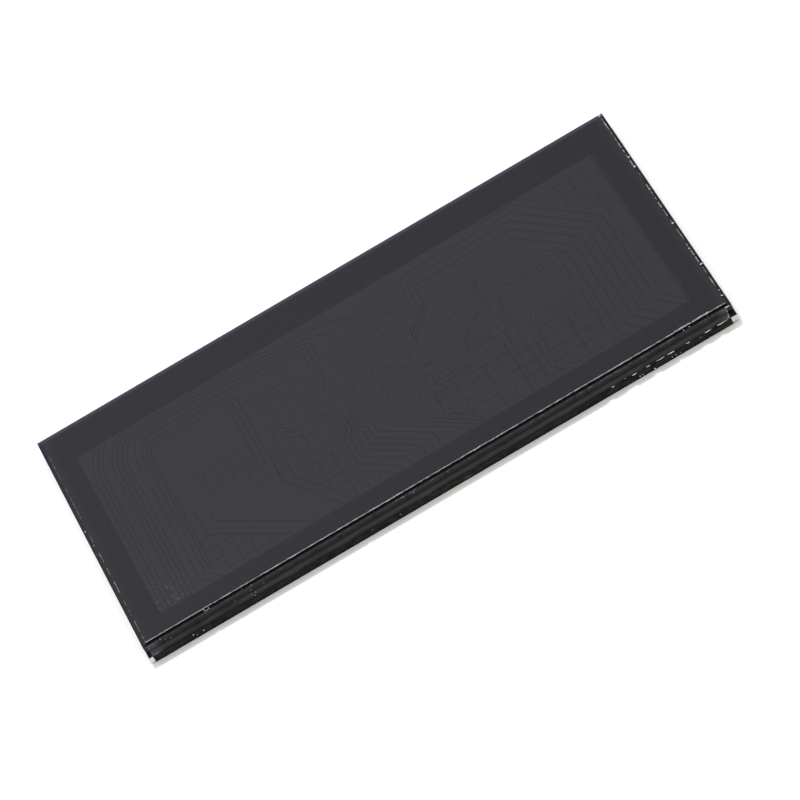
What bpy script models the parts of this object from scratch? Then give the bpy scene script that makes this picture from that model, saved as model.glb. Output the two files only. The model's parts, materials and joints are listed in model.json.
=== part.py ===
"""A bare segment liquid-crystal display cell, lying on its rear polarizer.

Two glass plates are glued together by a perimeter seal. The rear plate is
wider than the front one, so a contact ledge stands out along the near long
edge. Each electrode is one conductor on the rear plate: a contact pad on the
ledge, a routed trace and the display segments that it drives. Lengths are in
millimetres and are turned into metres where a solid is made. X runs along the
long edge, Y away from the contact ledge, and Z up towards the viewer.
"""

import math

import bmesh
import bpy
from mathutils import Matrix, Vector

MM = 0.001

# Glass plates
GLASS_LENGTH = 100.0
REAR_GLASS_WIDTH = 46.2
REAR_GLASS_THICKNESS = 1.1
FRONT_GLASS_THICKNESS = 1.1
CONTACT_LEDGE = 1.2
GLASS_EDGE_BREAK = 0.06

# Polarizing films; the rear one carries a reflector
REAR_POLARIZER_THICKNESS = 0.38
FRONT_POLARIZER_THICKNESS = 0.2
POLARIZER_RIM = 0.6
REAR_POLARIZER_NEAR_RIM = 0.02
REAR_POLARIZER_CORNER = 1.2
FRONT_POLARIZER_CORNER = 0.25

# Films between the plates, drawn thicker than the real ones
ELECTRODE_THICKNESS = 0.02
ALIGNMENT_THICKNESS = 0.02
LIQUID_CRYSTAL_THICKNESS = 0.04
LAYER_CLEARANCE = 0.002

# Viewing window, measured from the front plate's edges
SIDE_BORDER = 5.0
FAR_BORDER = 6.1
NEAR_BORDER = 4.3

# Perimeter seal, its fill port and the plug that closes it
SEAL_WIDTH = 1.2
SEAL_SIDE_INSET = 0.9
SEAL_NEAR_INSET = 1.6
SEAL_CORNER = 1.5
FILL_PORT_WIDTH = 5.0
FILL_PORT_OFFSET = 12.0
PLUG_CLEARANCE = 0.02
PLUG_EDGE_INSET = 0.1

# Contact pads and traces
PAD_WIDTH = 0.7
PAD_EDGE_INSET = 0.15
PAD_UNDERLAP = 0.3
TRACE_WIDTH = 0.34
TRACE_BEND_RADIUS = 0.5
BEND_STEPS = 4
FAN_HEIGHT = 0.8

# Dots that carry each common electrode down to its contact pad
CROSSOVER_DIAMETER = 0.9
CROSSOVER_EDGE_INSET = 0.8
CROSSOVER_SIDES = 20
OUTER_CROSSOVER_FROM_END = 2.1
INNER_CROSSOVER_FROM_END = 4.1
CROSSOVER_LAND = 0.15
COMMON_LEG_WIDTH = 1.1
COMMON_LEG_GAP = 0.5

# Seven-segment digits, in the electrode drawing
DIGIT_HEIGHT = 12.4
LARGE_DIGIT_WIDTH = 9.0
SMALL_DIGIT_WIDTH = 6.0
SEGMENT_WIDTH = 1.3
SEGMENT_TIP_INSET = 0.35
SEGMENT_NECK = 0.3
DIGIT_ROW = 20.5
COMMON_BAND_GAP = 0.3

# The electrode drawing is stretched with the window from this size. Its heights
# are measured from the window's near edge.
DRAWN_LENGTH = 90.0
DRAWN_WIDTH = 34.6

# Shell-shaped chips along the ledge: place from the centre, length, depth
LEDGE_CHIPS = (
    (27.6, 1.3, 0.30),
    (31.4, 2.4, 0.42),
    (35.4, 1.7, 0.36),
    (39.6, 2.2, 0.26),
    (43.6, 1.5, 0.24),
    (46.4, 1.9, 0.34),
    (-39.2, 0.9, 0.22),
    (-13.4, 0.8, 0.20),
)
CHIP_DROP = 0.5

# Worked-out levels, from the face that the cell lies on
REAR_GLASS_BOTTOM = REAR_POLARIZER_THICKNESS + LAYER_CLEARANCE
REAR_GLASS_TOP = REAR_GLASS_BOTTOM + REAR_GLASS_THICKNESS
ELECTRODE_BOTTOM = REAR_GLASS_TOP + LAYER_CLEARANCE
ELECTRODE_TOP = ELECTRODE_BOTTOM + ELECTRODE_THICKNESS
REAR_ALIGNMENT_BOTTOM = ELECTRODE_TOP + LAYER_CLEARANCE
REAR_ALIGNMENT_TOP = REAR_ALIGNMENT_BOTTOM + ALIGNMENT_THICKNESS
LIQUID_CRYSTAL_BOTTOM = REAR_ALIGNMENT_TOP + LAYER_CLEARANCE
LIQUID_CRYSTAL_TOP = LIQUID_CRYSTAL_BOTTOM + LIQUID_CRYSTAL_THICKNESS
FRONT_ALIGNMENT_BOTTOM = LIQUID_CRYSTAL_TOP + LAYER_CLEARANCE
FRONT_ALIGNMENT_TOP = FRONT_ALIGNMENT_BOTTOM + ALIGNMENT_THICKNESS
COMMON_BOTTOM = FRONT_ALIGNMENT_TOP + LAYER_CLEARANCE
COMMON_TOP = COMMON_BOTTOM + ELECTRODE_THICKNESS
FRONT_GLASS_BOTTOM = COMMON_TOP + LAYER_CLEARANCE
FRONT_GLASS_TOP = FRONT_GLASS_BOTTOM + FRONT_GLASS_THICKNESS
FRONT_POLARIZER_BOTTOM = FRONT_GLASS_TOP + LAYER_CLEARANCE

# Worked-out lines across the plates
END = GLASS_LENGTH / 2
FAR_EDGE = REAR_GLASS_WIDTH / 2
LEDGE_EDGE = -REAR_GLASS_WIDTH / 2
NEAR_EDGE = LEDGE_EDGE + CONTACT_LEDGE
WINDOW_END = END - SIDE_BORDER
WINDOW_FAR = FAR_EDGE - FAR_BORDER
WINDOW_NEAR = NEAR_EDGE + NEAR_BORDER
ALONG = 2 * WINDOW_END / DRAWN_LENGTH
ACROSS = (WINDOW_FAR - WINDOW_NEAR) / DRAWN_WIDTH
PAD_TIP = LEDGE_EDGE + PAD_EDGE_INSET
PAD_FOOT = NEAR_EDGE + PAD_UNDERLAP
FAN_LINE = WINDOW_NEAR - FAN_HEIGHT
CROSSOVER_LINE = NEAR_EDGE + CROSSOVER_EDGE_INSET
OUTER_CROSSOVER = END - OUTER_CROSSOVER_FROM_END
INNER_CROSSOVER = END - INNER_CROSSOVER_FROM_END


# Scene and materials


def clear_scene():
    """Empties the file that the script runs from."""
    for obj in list(bpy.data.objects):
        bpy.data.objects.remove(obj, do_unlink=True)


def new_collection(name):
    """Makes a collection in the scene."""
    collection = bpy.data.collections.new(name)
    bpy.context.scene.collection.children.link(collection)
    return collection


def make_material(name, color, roughness, metallic=0.0, transmission=0.0):
    """Makes a plain material for one kind of layer."""
    material = bpy.data.materials.new(name)
    material.use_nodes = True
    shader = material.node_tree.nodes["Principled BSDF"]
    shader.inputs["Base Color"].default_value = (*color, 1.0)
    shader.inputs["Roughness"].default_value = roughness
    shader.inputs["Metallic"].default_value = metallic
    shader.inputs["Transmission Weight"].default_value = transmission
    return material


def dress(obj, material):
    """Gives an object its only material."""
    obj.data.materials.clear()
    obj.data.materials.append(material)
    return obj


# Flat outlines


def rectangle(left, near, right, far):
    """Corners of a rectangle, anticlockwise."""
    return [(left, near), (right, near), (right, far), (left, far)]


def rounded_rectangle(left, near, right, far, radius, steps=6):
    """A rectangle with round corners, anticlockwise."""
    centres = (
        (right - radius, near + radius, -90.0),
        (right - radius, far - radius, 0.0),
        (left + radius, far - radius, 90.0),
        (left + radius, near + radius, 180.0),
    )
    points = []
    for x, y, start in centres:
        points += arc(x, y, radius, start, start + 90.0, steps)
    return points


def arc(x, y, radius, start, end, steps):
    """Points of an arc about a centre, between two angles in degrees."""
    angles = [math.radians(start + (end - start) * i / steps) for i in range(steps + 1)]
    return [(x + radius * math.cos(a), y + radius * math.sin(a)) for a in angles]


def filleted(points, radius):
    """Rounds the inner corners of an open route."""
    route = [Vector(points[0])]
    for before, corner, after in zip(points, points[1:], points[2:]):
        before, corner, after = Vector(before), Vector(corner), Vector(after)
        arrive = (corner - before).normalized()
        leave = (after - corner).normalized()
        turn = arrive.angle_signed(leave)
        if abs(turn) < math.radians(2):
            continue
        room = min((corner - before).length, (after - corner).length) * 0.48
        reach = min(radius * math.tan(abs(turn) / 2), room)
        bend = reach / math.tan(abs(turn) / 2)
        side = Vector((-arrive.y, arrive.x)) if turn < 0 else Vector((arrive.y, -arrive.x))
        start = corner - arrive * reach
        centre = start + side * bend
        for i in range(BEND_STEPS + 1):
            swing = -turn * i / BEND_STEPS
            spoke = start - centre
            spoke.rotate(matrix_2d(swing))
            route.append(centre + spoke)
    route.append(Vector(points[-1]))
    return route


def matrix_2d(angle):
    """A turn in the plane, anticlockwise."""
    return Matrix.Rotation(angle, 2)


def ribbon(points, width, radius=TRACE_BEND_RADIUS):
    """Outline of a strip of constant width along a rounded route."""
    route = filleted(points, radius)
    left, right = [], []
    for i, point in enumerate(route):
        before = route[max(i - 1, 0)]
        after = route[min(i + 1, len(route) - 1)]
        into = (point - before).normalized() if i > 0 else (after - point).normalized()
        out = (after - point).normalized() if i < len(route) - 1 else into
        along = (into + out).normalized()
        normal = Vector((-along.y, along.x))
        square = Vector((-into.y, into.x))
        stretch = width / 2 / max(normal.dot(square), 0.5)
        left.append(point + normal * stretch)
        right.append(point - normal * stretch)
    return [tuple(p) for p in right + left[::-1]]


def segment_bar(start, end, width=SEGMENT_WIDTH, inset=SEGMENT_TIP_INSET):
    """A display segment: a bar with pointed ends, short of both corners."""
    start, end = Vector(start), Vector(end)
    along = (end - start).normalized()
    across = Vector((-along.y, along.x)) * (width / 2)
    tip_a, tip_b = start + along * inset, end - along * inset
    neck_a, neck_b = tip_a + along * (width / 2), tip_b - along * (width / 2)
    points = (
        tip_a,
        neck_a - across,
        neck_b - across,
        tip_b,
        neck_b + across,
        neck_a + across,
    )
    return [tuple(p) for p in points]


def ring_sector(x, y, radius, width, start, end, steps=10):
    """A piece of a flat ring between two angles in degrees."""
    outer = arc(x, y, radius + width / 2, start, end, steps)
    inner = arc(x, y, radius - width / 2, end, start, steps)
    return outer + inner


# Solids


def plate_from_outline(name, outline, bottom, thickness, collection):
    """A flat solid: a filled outline, pulled up to its thickness."""
    curve = bpy.data.curves.new(name, "CURVE")
    curve.dimensions = "2D"
    curve.fill_mode = "BOTH"
    curve.extrude = thickness / 2 * MM
    spline = curve.splines.new("POLY")
    spline.points.add(len(outline) - 1)
    for point, (x, y) in zip(spline.points, outline):
        point.co = (x * MM, y * MM, 0.0, 1.0)
    spline.use_cyclic_u = True
    drawn = bpy.data.objects.new(name + "_outline", curve)
    drawn.location.z = (bottom + thickness / 2) * MM
    collection.objects.link(drawn)
    bpy.context.view_layer.update()
    return mesh_of_curve(name, drawn, collection)


def mesh_of_curve(name, drawn, collection):
    """Turns a drawn outline into a welded mesh object in the same place."""
    evaluated = drawn.evaluated_get(bpy.context.evaluated_depsgraph_get())
    mesh = bpy.data.meshes.new_from_object(evaluated)
    body = bmesh.new()
    body.from_mesh(mesh)
    bmesh.ops.remove_doubles(body, verts=body.verts, dist=1e-7)
    bmesh.ops.recalc_face_normals(body, faces=body.faces)
    body.to_mesh(mesh)
    body.free()
    mesh.name = name
    solid = bpy.data.objects.new(name, mesh)
    solid.matrix_world = drawn.matrix_world.copy()
    collection.objects.link(solid)
    bpy.data.objects.remove(drawn, do_unlink=True)
    bpy.context.view_layer.update()
    return solid


def joined_plate(name, outlines, bottom, thickness, collection, cutters):
    """One flat solid made of outlines that overlap."""
    base = plate_from_outline(name, outlines[0], bottom, thickness, collection)
    for i, outline in enumerate(outlines[1:], 1):
        tool = plate_from_outline(f"{name}_{i}", outline, bottom, thickness, cutters)
        tool.hide_render = True
        tool.display_type = "WIRE"
        union = base.modifiers.new(f"join_{i}", "BOOLEAN")
        union.operation = "UNION"
        union.solver = "EXACT"
        union.object = tool
    return base


def glass_plate(name, near, far, bottom, thickness, collection):
    """A cut glass plate with its sharp edges broken."""
    bpy.ops.mesh.primitive_cube_add(size=1.0)
    plate = bpy.context.active_object
    plate.name = name
    plate.data.name = name
    for owner in list(plate.users_collection):
        owner.objects.unlink(plate)
    collection.objects.link(plate)
    size = Vector((GLASS_LENGTH, far - near, thickness)) * MM
    for vertex in plate.data.vertices:
        vertex.co = Vector(a * b for a, b in zip(vertex.co, size))
    plate.location = Vector((0.0, (near + far) / 2, bottom + thickness / 2)) * MM
    bevel = plate.modifiers.new("broken_edges", "BEVEL")
    bevel.width = min(GLASS_EDGE_BREAK, thickness / 4) * MM
    bevel.segments = 1
    return plate


# Plates and outer films


def add_rear_glass(collection, cutters, material):
    """The wide plate, with the shells that broke out of its ledge."""
    plate = glass_plate(
        "rear_glass",
        LEDGE_EDGE,
        FAR_EDGE,
        REAR_GLASS_BOTTOM,
        REAR_GLASS_THICKNESS,
        collection,
    )
    for i, (place, length, depth) in enumerate(LEDGE_CHIPS):
        cutter = chip_cutter(f"ledge_chip_{i}", place, length, depth, cutters)
        cut = plate.modifiers.new(f"chip_{i}", "BOOLEAN")
        cut.operation = "DIFFERENCE"
        cut.solver = "EXACT"
        cut.object = cutter
    return dress(plate, material)


def chip_cutter(name, place, length, depth, cutters):
    """A flattened ball at the ledge's upper edge, which leaves a shell."""
    mesh = bpy.data.meshes.new(name)
    ball = bmesh.new()
    bmesh.ops.create_uvsphere(ball, u_segments=12, v_segments=8, radius=1.0)
    stretch = Vector((length / 2, depth, CHIP_DROP)) * MM
    bmesh.ops.scale(ball, vec=stretch, verts=ball.verts)
    ball.to_mesh(mesh)
    ball.free()
    cutter = bpy.data.objects.new(name, mesh)
    cutter.location = Vector((place * ALONG, LEDGE_EDGE, REAR_GLASS_TOP)) * MM
    cutter.hide_render = True
    cutter.display_type = "WIRE"
    cutters.objects.link(cutter)
    return cutter


def add_front_glass(collection, material):
    """The narrow plate that faces the viewer."""
    plate = glass_plate(
        "front_glass",
        NEAR_EDGE,
        FAR_EDGE,
        FRONT_GLASS_BOTTOM,
        FRONT_GLASS_THICKNESS,
        collection,
    )
    return dress(plate, material)


def add_polarizers(collection, material):
    """The films on the outer faces, short of the glass edges."""
    rear = rounded_rectangle(
        -END + POLARIZER_RIM,
        LEDGE_EDGE + REAR_POLARIZER_NEAR_RIM,
        END - POLARIZER_RIM,
        FAR_EDGE - POLARIZER_RIM,
        REAR_POLARIZER_CORNER,
    )
    front = rounded_rectangle(
        -END + POLARIZER_RIM,
        NEAR_EDGE + POLARIZER_RIM,
        END - POLARIZER_RIM,
        FAR_EDGE - POLARIZER_RIM,
        FRONT_POLARIZER_CORNER,
    )
    dress(
        plate_from_outline(
            "rear_polarizer", rear, 0.0, REAR_POLARIZER_THICKNESS, collection
        ),
        material,
    )
    dress(
        plate_from_outline(
            "front_polarizer",
            front,
            FRONT_POLARIZER_BOTTOM,
            FRONT_POLARIZER_THICKNESS,
            collection,
        ),
        material,
    )


# Films in the cell


def add_alignment_layers(collection, material):
    """The rubbed films that cover the window on both plates."""
    window = rectangle(-WINDOW_END, WINDOW_NEAR, WINDOW_END, WINDOW_FAR)
    levels = (
        ("rear_alignment_layer", REAR_ALIGNMENT_BOTTOM),
        ("front_alignment_layer", FRONT_ALIGNMENT_BOTTOM),
    )
    for name, bottom in levels:
        film = plate_from_outline(name, window, bottom, ALIGNMENT_THICKNESS, collection)
        dress(film, material)


def seal_lines():
    """The seal's outer lines: end, near side and far side."""
    return END - SEAL_SIDE_INSET, NEAR_EDGE + SEAL_NEAR_INSET, FAR_EDGE - SEAL_SIDE_INSET


def add_liquid_crystal(collection, material):
    """The liquid that fills the cell inside the seal."""
    end, near, far = seal_lines()
    inset = SEAL_WIDTH + PLUG_CLEARANCE
    outline = rounded_rectangle(
        -end + inset,
        near + inset,
        end - inset,
        far - inset,
        max(SEAL_CORNER - SEAL_WIDTH, 0.2),
    )
    fluid = plate_from_outline(
        "liquid_crystal",
        outline,
        LIQUID_CRYSTAL_BOTTOM,
        LIQUID_CRYSTAL_THICKNESS,
        collection,
    )
    dress(fluid, material)


def add_seal(collection, material):
    """The glue line round the cell, open at the fill port."""
    end, near, far = seal_lines()
    left = FILL_PORT_OFFSET - FILL_PORT_WIDTH / 2
    right = FILL_PORT_OFFSET + FILL_PORT_WIDTH / 2
    inner = max(SEAL_CORNER - SEAL_WIDTH, 0.2)
    lip = FAR_EDGE - PLUG_EDGE_INSET
    outline = [(left, lip), (left - SEAL_WIDTH, lip), (left - SEAL_WIDTH, far)]
    outline += turned_corners(end, near, far, SEAL_CORNER)
    outline += [(right + SEAL_WIDTH, far), (right + SEAL_WIDTH, lip), (right, lip)]
    outline += [(right, far - SEAL_WIDTH)]
    outline += turned_corners(
        end - SEAL_WIDTH, near + SEAL_WIDTH, far - SEAL_WIDTH, inner
    )[::-1]
    outline += [(left, far - SEAL_WIDTH)]
    seal = plate_from_outline(
        "perimeter_seal",
        outline,
        REAR_ALIGNMENT_BOTTOM,
        FRONT_ALIGNMENT_TOP - REAR_ALIGNMENT_BOTTOM,
        collection,
    )
    dress(seal, material)


def turned_corners(end, near, far, radius):
    """The four round corners of the seal, from the far left one round."""
    points = []
    for x, y, start in (
        (-end + radius, far - radius, 90.0),
        (-end + radius, near + radius, 180.0),
        (end - radius, near + radius, 270.0),
        (end - radius, far - radius, 360.0),
    ):
        points += arc(x, y, radius, start, start + 90.0, 5)
    return points


def add_plug(collection, material):
    """The hardened glue that closes the fill port."""
    far = FAR_EDGE - SEAL_SIDE_INSET
    half = FILL_PORT_WIDTH / 2 - PLUG_CLEARANCE
    outline = rounded_rectangle(
        FILL_PORT_OFFSET - half,
        far - SEAL_WIDTH + PLUG_CLEARANCE,
        FILL_PORT_OFFSET + half,
        FAR_EDGE - PLUG_EDGE_INSET,
        0.2,
        3,
    )
    plug = plate_from_outline(
        "fill_port_plug",
        outline,
        REAR_ALIGNMENT_BOTTOM,
        FRONT_ALIGNMENT_TOP - REAR_ALIGNMENT_BOTTOM,
        collection,
    )
    dress(plug, material)


# Common electrodes and their crossovers


def band_lines():
    """The common bands' lines: the middle one lies over the crossbars."""
    centre = WINDOW_NEAR + DIGIT_ROW * ACROSS
    half = SEGMENT_WIDTH / 2 * ACROSS + 0.3
    return centre - half, centre + half


def add_common_electrodes(collection, cutters, material):
    """Three bands on the front plate, each led to its own crossover."""
    low, high = band_lines()
    pad = CROSSOVER_DIAMETER / 2 + CROSSOVER_LAND
    foot = CROSSOVER_LINE - pad
    leg_in = WINDOW_END + COMMON_LEG_GAP
    leg_out = leg_in + COMMON_LEG_WIDTH
    turn = WINDOW_NEAR - COMMON_LEG_GAP
    outlines = {
        "common_electrode_upper": [
            rectangle(-WINDOW_END, high + COMMON_BAND_GAP, WINDOW_END, WINDOW_FAR),
            rectangle(-leg_out, foot, -leg_in, WINDOW_FAR),
            rectangle(-leg_in - 0.4, WINDOW_FAR - 2.0, -WINDOW_END + 0.4, WINDOW_FAR - 0.6),
            rectangle(-OUTER_CROSSOVER - pad, foot, -leg_in - 0.2, foot + 2 * pad),
        ],
        "common_electrode_middle": [
            rectangle(-WINDOW_END, low, WINDOW_END, high),
            rectangle(WINDOW_END - 0.4, low + 0.2, leg_out - 0.2, high - 0.2),
            rectangle(leg_in, turn, leg_out, high - 0.1),
            rectangle(leg_in + 0.3, turn - 0.3, OUTER_CROSSOVER + pad, turn + 0.5),
            rectangle(OUTER_CROSSOVER - pad, foot, OUTER_CROSSOVER + pad - 0.1, turn),
        ],
        "common_electrode_lower": [
            rectangle(-WINDOW_END, WINDOW_NEAR, WINDOW_END, low - COMMON_BAND_GAP),
            rectangle(WINDOW_END - 1.4, foot + pad, WINDOW_END - 0.2, WINDOW_NEAR + 0.4),
            rectangle(WINDOW_END - 1.3, foot, INNER_CROSSOVER + pad, foot + 2 * pad),
        ],
    }
    for name, shapes in outlines.items():
        band = joined_plate(
            name, shapes, COMMON_BOTTOM, ELECTRODE_THICKNESS, collection, cutters
        )
        dress(band, material)


def crossover_places():
    """Where each common electrode comes down, by its feed's name."""
    return (
        ("left", -OUTER_CROSSOVER),
        ("right_inner", INNER_CROSSOVER),
        ("right_outer", OUTER_CROSSOVER),
    )


def add_crossovers(collection, material):
    """Dots of conducting glue between the two plates."""
    for side, place in crossover_places():
        outline = arc(
            place,
            CROSSOVER_LINE,
            CROSSOVER_DIAMETER / 2,
            0.0,
            360.0 - 360.0 / CROSSOVER_SIDES,
            CROSSOVER_SIDES - 1,
        )
        dot = plate_from_outline(
            "crossover_dot_" + side,
            outline,
            REAR_ALIGNMENT_BOTTOM,
            FRONT_ALIGNMENT_TOP - REAR_ALIGNMENT_BOTTOM,
            collection,
        )
        dress(dot, material)


# Segment electrodes on the rear plate


def drawn(x, y):
    """A place in the electrode drawing, as a place on the plate."""
    return x * ALONG, WINDOW_NEAR + y * ACROSS


def contact_pad(place):
    """A pad on the ledge that runs a little under the front plate."""
    return rectangle(place - PAD_WIDTH / 2, PAD_TIP, place + PAD_WIDTH / 2, PAD_FOOT)


def conductor(name, pad, route, shapes, collection, cutters, material):
    """A pad, the trace along a drawn route, and the drawn shapes that it drives."""
    pad_place = pad * ALONG
    path = [(pad_place, PAD_FOOT - PAD_UNDERLAP), (pad_place, FAN_LINE)]
    path += [drawn(x, y) for x, y in route]
    outlines = [ribbon(path, TRACE_WIDTH), contact_pad(pad_place)]
    outlines += [[drawn(x, y) for x, y in shape] for shape in shapes]
    solid = joined_plate(
        name, outlines, ELECTRODE_BOTTOM, ELECTRODE_THICKNESS, collection, cutters
    )
    return dress(solid, material)


def digit_corners(centre, width):
    """Left, right, bottom, middle and top lines of a digit's strokes."""
    bottom, top = DIGIT_ROW - DIGIT_HEIGHT / 2, DIGIT_ROW + DIGIT_HEIGHT / 2
    return centre - width / 2, centre + width / 2, bottom, DIGIT_ROW, top


def digit_shapes(centre, width):
    """The seven strokes of a digit, in the four groups that share a trace."""
    left, right, bottom, middle, top = digit_corners(centre, width)
    return {
        "left": [
            segment_bar((left, middle), (left, top)),
            segment_bar((left, bottom), (left, middle)),
            segment_bar((left, middle), (right, middle)),
            ribbon([(left, middle - 1.0), (left, middle + 1.0)], SEGMENT_NECK),
            ribbon([(left - 0.05, middle), (left + 1.0, middle)], SEGMENT_NECK),
        ],
        "right": [
            segment_bar((right, middle), (right, top)),
            segment_bar((right, bottom), (right, middle)),
            ribbon([(right, middle - 1.0), (right, middle + 1.0)], SEGMENT_NECK),
        ],
        "top": [segment_bar((left, top), (right, top))],
        "base": [segment_bar((left, bottom), (right, bottom))],
    }


def mark_box(x, y, width, height, radius=0.3):
    """A small round-cornered window mark about a place in the drawing."""
    return rounded_rectangle(
        x - width / 2, y - height / 2, x + width / 2, y + height / 2, radius, 3
    )


def left_bundle_routes():
    """Traces that climb the left border and turn in along the far side.

    They are counted from the innermost one outwards. Each entry gives where
    the trace leaves the far run and the points from there to its stroke.
    """
    return (
        ("digit_1_left", None, [(-33.0, 23.6)]),
        ("digit_1_top", -28.5, [(-28.5, 26.5)]),
        ("digit_2_left", -20.4, [(-20.4, 23.6), (-18.5, 23.6)]),
        ("digit_2_top", -15.5, [(-15.5, 26.5)]),
        ("digit_3_left", -9.4, [(-9.4, 23.6), (-7.5, 23.6)]),
        ("digit_3_top", -4.5, [(-4.5, 26.5)]),
        ("digit_3_right", 0.5, [(0.5, 23.6), (-1.5, 23.6)]),
        ("marker_1", 3.0, [(3.0, 28.7)]),
        ("marker_2", 5.4, [(5.4, 28.7)]),
        ("marker_3", 7.8, [(7.8, 28.7)]),
    )


def add_left_bundle(shapes, add):
    """Ten traces up the left border, nested round the far left corner."""
    pad_first, pad_pitch = -37.6, 1.0
    rise_first, rise_pitch = -37.2, 0.8
    run_first, run_pitch = 28.3, 0.55
    radius_first, radius_step = 1.0, 0.62
    for i, (name, leave, tail) in enumerate(left_bundle_routes()):
        rise = rise_first - rise_pitch * i
        run = run_first + run_pitch * i
        radius = radius_first + radius_step * i
        route = [(rise, 0.7)]
        if leave is None:
            route += [(rise, tail[0][1])]
        else:
            corner = [drawn(rise, run - 9.0), drawn(rise, run), drawn(leave, run)]
            rounded = filleted(corner, radius)[1:-1]
            route += [undrawn(point) for point in rounded]
            route += [(leave, run)]
        add(name, pad_first - pad_pitch * i, route + tail, shapes(name))


def undrawn(point):
    """The drawing's own coordinates of a place on the plate."""
    return point[0] / ALONG, (point[1] - WINDOW_NEAR) / ACROSS


def add_right_bundle(shapes, add):
    """Six traces up the right border, slanted in under the far corner."""
    ends = (
        ("colon_lower", 9.6, [(9.6, 25.7), (6.0, 22.1), (6.0, 17.9)]),
        ("colon_upper", 10.5, [(10.5, 25.2), (8.4, 23.1), (8.4, 22.3)]),
        ("digit_4_left", 11.4, [(11.4, 23.6), (13.0, 23.6)]),
        ("digit_4_top", 16.0, [(16.0, 26.5)]),
        ("digit_4_right", 20.8, [(20.8, 23.6), (19.0, 23.6)]),
        ("ring_right", None, [(31.9, 16.9)]),
    )
    shift = 2.8
    for i, (name, leave, tail) in enumerate(ends):
        rise = 41.6 - 1.4 * i
        run = 33.2 - 0.6 * i
        slant = 21.7 - 0.5 * i
        route = [(rise, shift - 0.6)]
        if leave is None:
            route += [(rise, tail[0][1])]
        else:
            route += [(rise, slant), (rise - (run - slant), run), (leave, run)]
        add(name, rise + shift, route + tail, shapes(name))


def add_lower_traces(shapes, add):
    """Traces that leave the window straight to the ledge, or on a slant."""
    slanted = (
        ("marker_4", -21.0, [(-32.6, 11.2), (-35.3, 11.2)]),
        ("digit_1_base", -20.0, [(-28.5, 8.1), (-28.5, 14.3)]),
        ("digit_1_right", -19.0, [(-21.9, 2.5), (-21.9, 17.4), (-24.0, 17.4)]),
        ("digit_2_base", -11.0, [(-15.5, 4.1), (-15.5, 14.3)]),
        ("digit_2_right", -9.4, [(-11.0, 1.2), (-11.0, 17.4), (-12.5, 17.4)]),
        ("digit_4_base", 24.2, [(20.6, 3.2), (20.6, 11.0), (16.0, 11.0), (16.0, 14.3)]),
        ("marker_7", 25.3, [(21.9, 3.0), (21.9, 23.6), (25.0, 23.6)]),
        ("ring_left", 26.4, [(23.2, 2.8), (23.2, 15.8), (24.9, 15.8)]),
    )
    for name, pad, route in slanted:
        add(name, pad, route, shapes(name))
    straight = (
        ("marker_5", -34.6, 4.3),
        ("marker_6", -31.0, 4.3),
        ("ring_base", 28.5, 12.2),
    )
    for name, place, top in straight:
        add(name, place, [(place, top)], shapes(name))


def add_centre_bundle(shapes, add):
    """Five traces that drop from the middle and slant to the right."""
    for i in range(5):
        rise = -10.1 + 0.9 * i
        pad = -2.0 + 1.1 * i
        bend = pad - rise - 0.4
        route = [(rise, bend)]
        if i < 4:
            name = f"level_bar_{i + 1}"
            route += [(rise, 11.4)]
        else:
            name = "digit_3_base"
            route += [(rise, 11.9), (-4.5, 11.9), (-4.5, 14.3)]
        add(name, pad, route, shapes(name))


def add_column_traces(shapes, add):
    """Five columns of rising height, each straight above its pad."""
    for i in range(5):
        place = 6.8 + 2.8 * i
        add(f"column_{i + 1}", place, [(place, 3.7)], shapes(f"column_{i + 1}"))


def display_shapes():
    """What each trace drives in the drawing, by the conductor's name."""
    found = {}
    digits = (
        (-28.5, LARGE_DIGIT_WIDTH),
        (-15.5, SMALL_DIGIT_WIDTH),
        (-4.5, SMALL_DIGIT_WIDTH),
        (16.0, SMALL_DIGIT_WIDTH),
    )
    for i, (centre, width) in enumerate(digits, 1):
        for group, outlines in digit_shapes(centre, width).items():
            found[f"digit_{i}_{group}"] = outlines
    marks = (
        (1, 3.0, 27.9, 1.7, 1.8),
        (2, 5.4, 27.9, 1.7, 1.8),
        (3, 7.8, 27.9, 1.7, 1.8),
        (4, -35.2, 12.3, 1.9, 2.6),
        (5, -34.6, 4.9, 2.6, 2.6),
        (6, -31.0, 4.9, 2.6, 2.6),
        (7, 26.3, 23.6, 3.6, 2.8),
    )
    for i, x, y, width, height in marks:
        found[f"marker_{i}"] = [mark_box(x, y, width, height)]
    for i in range(4):
        height = 0.8 + 0.35 * i
        found[f"level_bar_{i + 1}"] = [
            mark_box(-10.1 + 0.9 * i, 11.1 + height / 2, 0.6, height, 0.15)
        ]
    for i in range(5):
        height = 1.6 + 1.1 * i
        found[f"column_{i + 1}"] = [
            mark_box(6.8 + 2.8 * i, 3.3 + height / 2, 2.0, height)
        ]
    found["colon_lower"] = [mark_box(6.0, 17.9, 1.5, 1.5, 0.7)]
    found["colon_upper"] = [mark_box(8.4, 21.7, 1.5, 1.5, 0.7)]
    for side, start, end in (
        ("right", -10.0, 90.0),
        ("left", 100.0, 220.0),
        ("base", 230.0, 340.0),
    ):
        found["ring_" + side] = [ring_sector(28.5, 15.8, 3.6, 1.2, start, end)]
    return found


def add_segment_electrodes(collection, cutters, material):
    """All conductors of the rear plate that drive something."""
    found = display_shapes()

    def add(name, pad, route, outlines):
        conductor(
            name + "_electrode", pad, route, outlines, collection, cutters, material
        )

    add_left_bundle(found.get, add)
    add_right_bundle(found.get, add)
    add_lower_traces(found.get, add)
    add_centre_bundle(found.get, add)
    add_column_traces(found.get, add)


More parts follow.
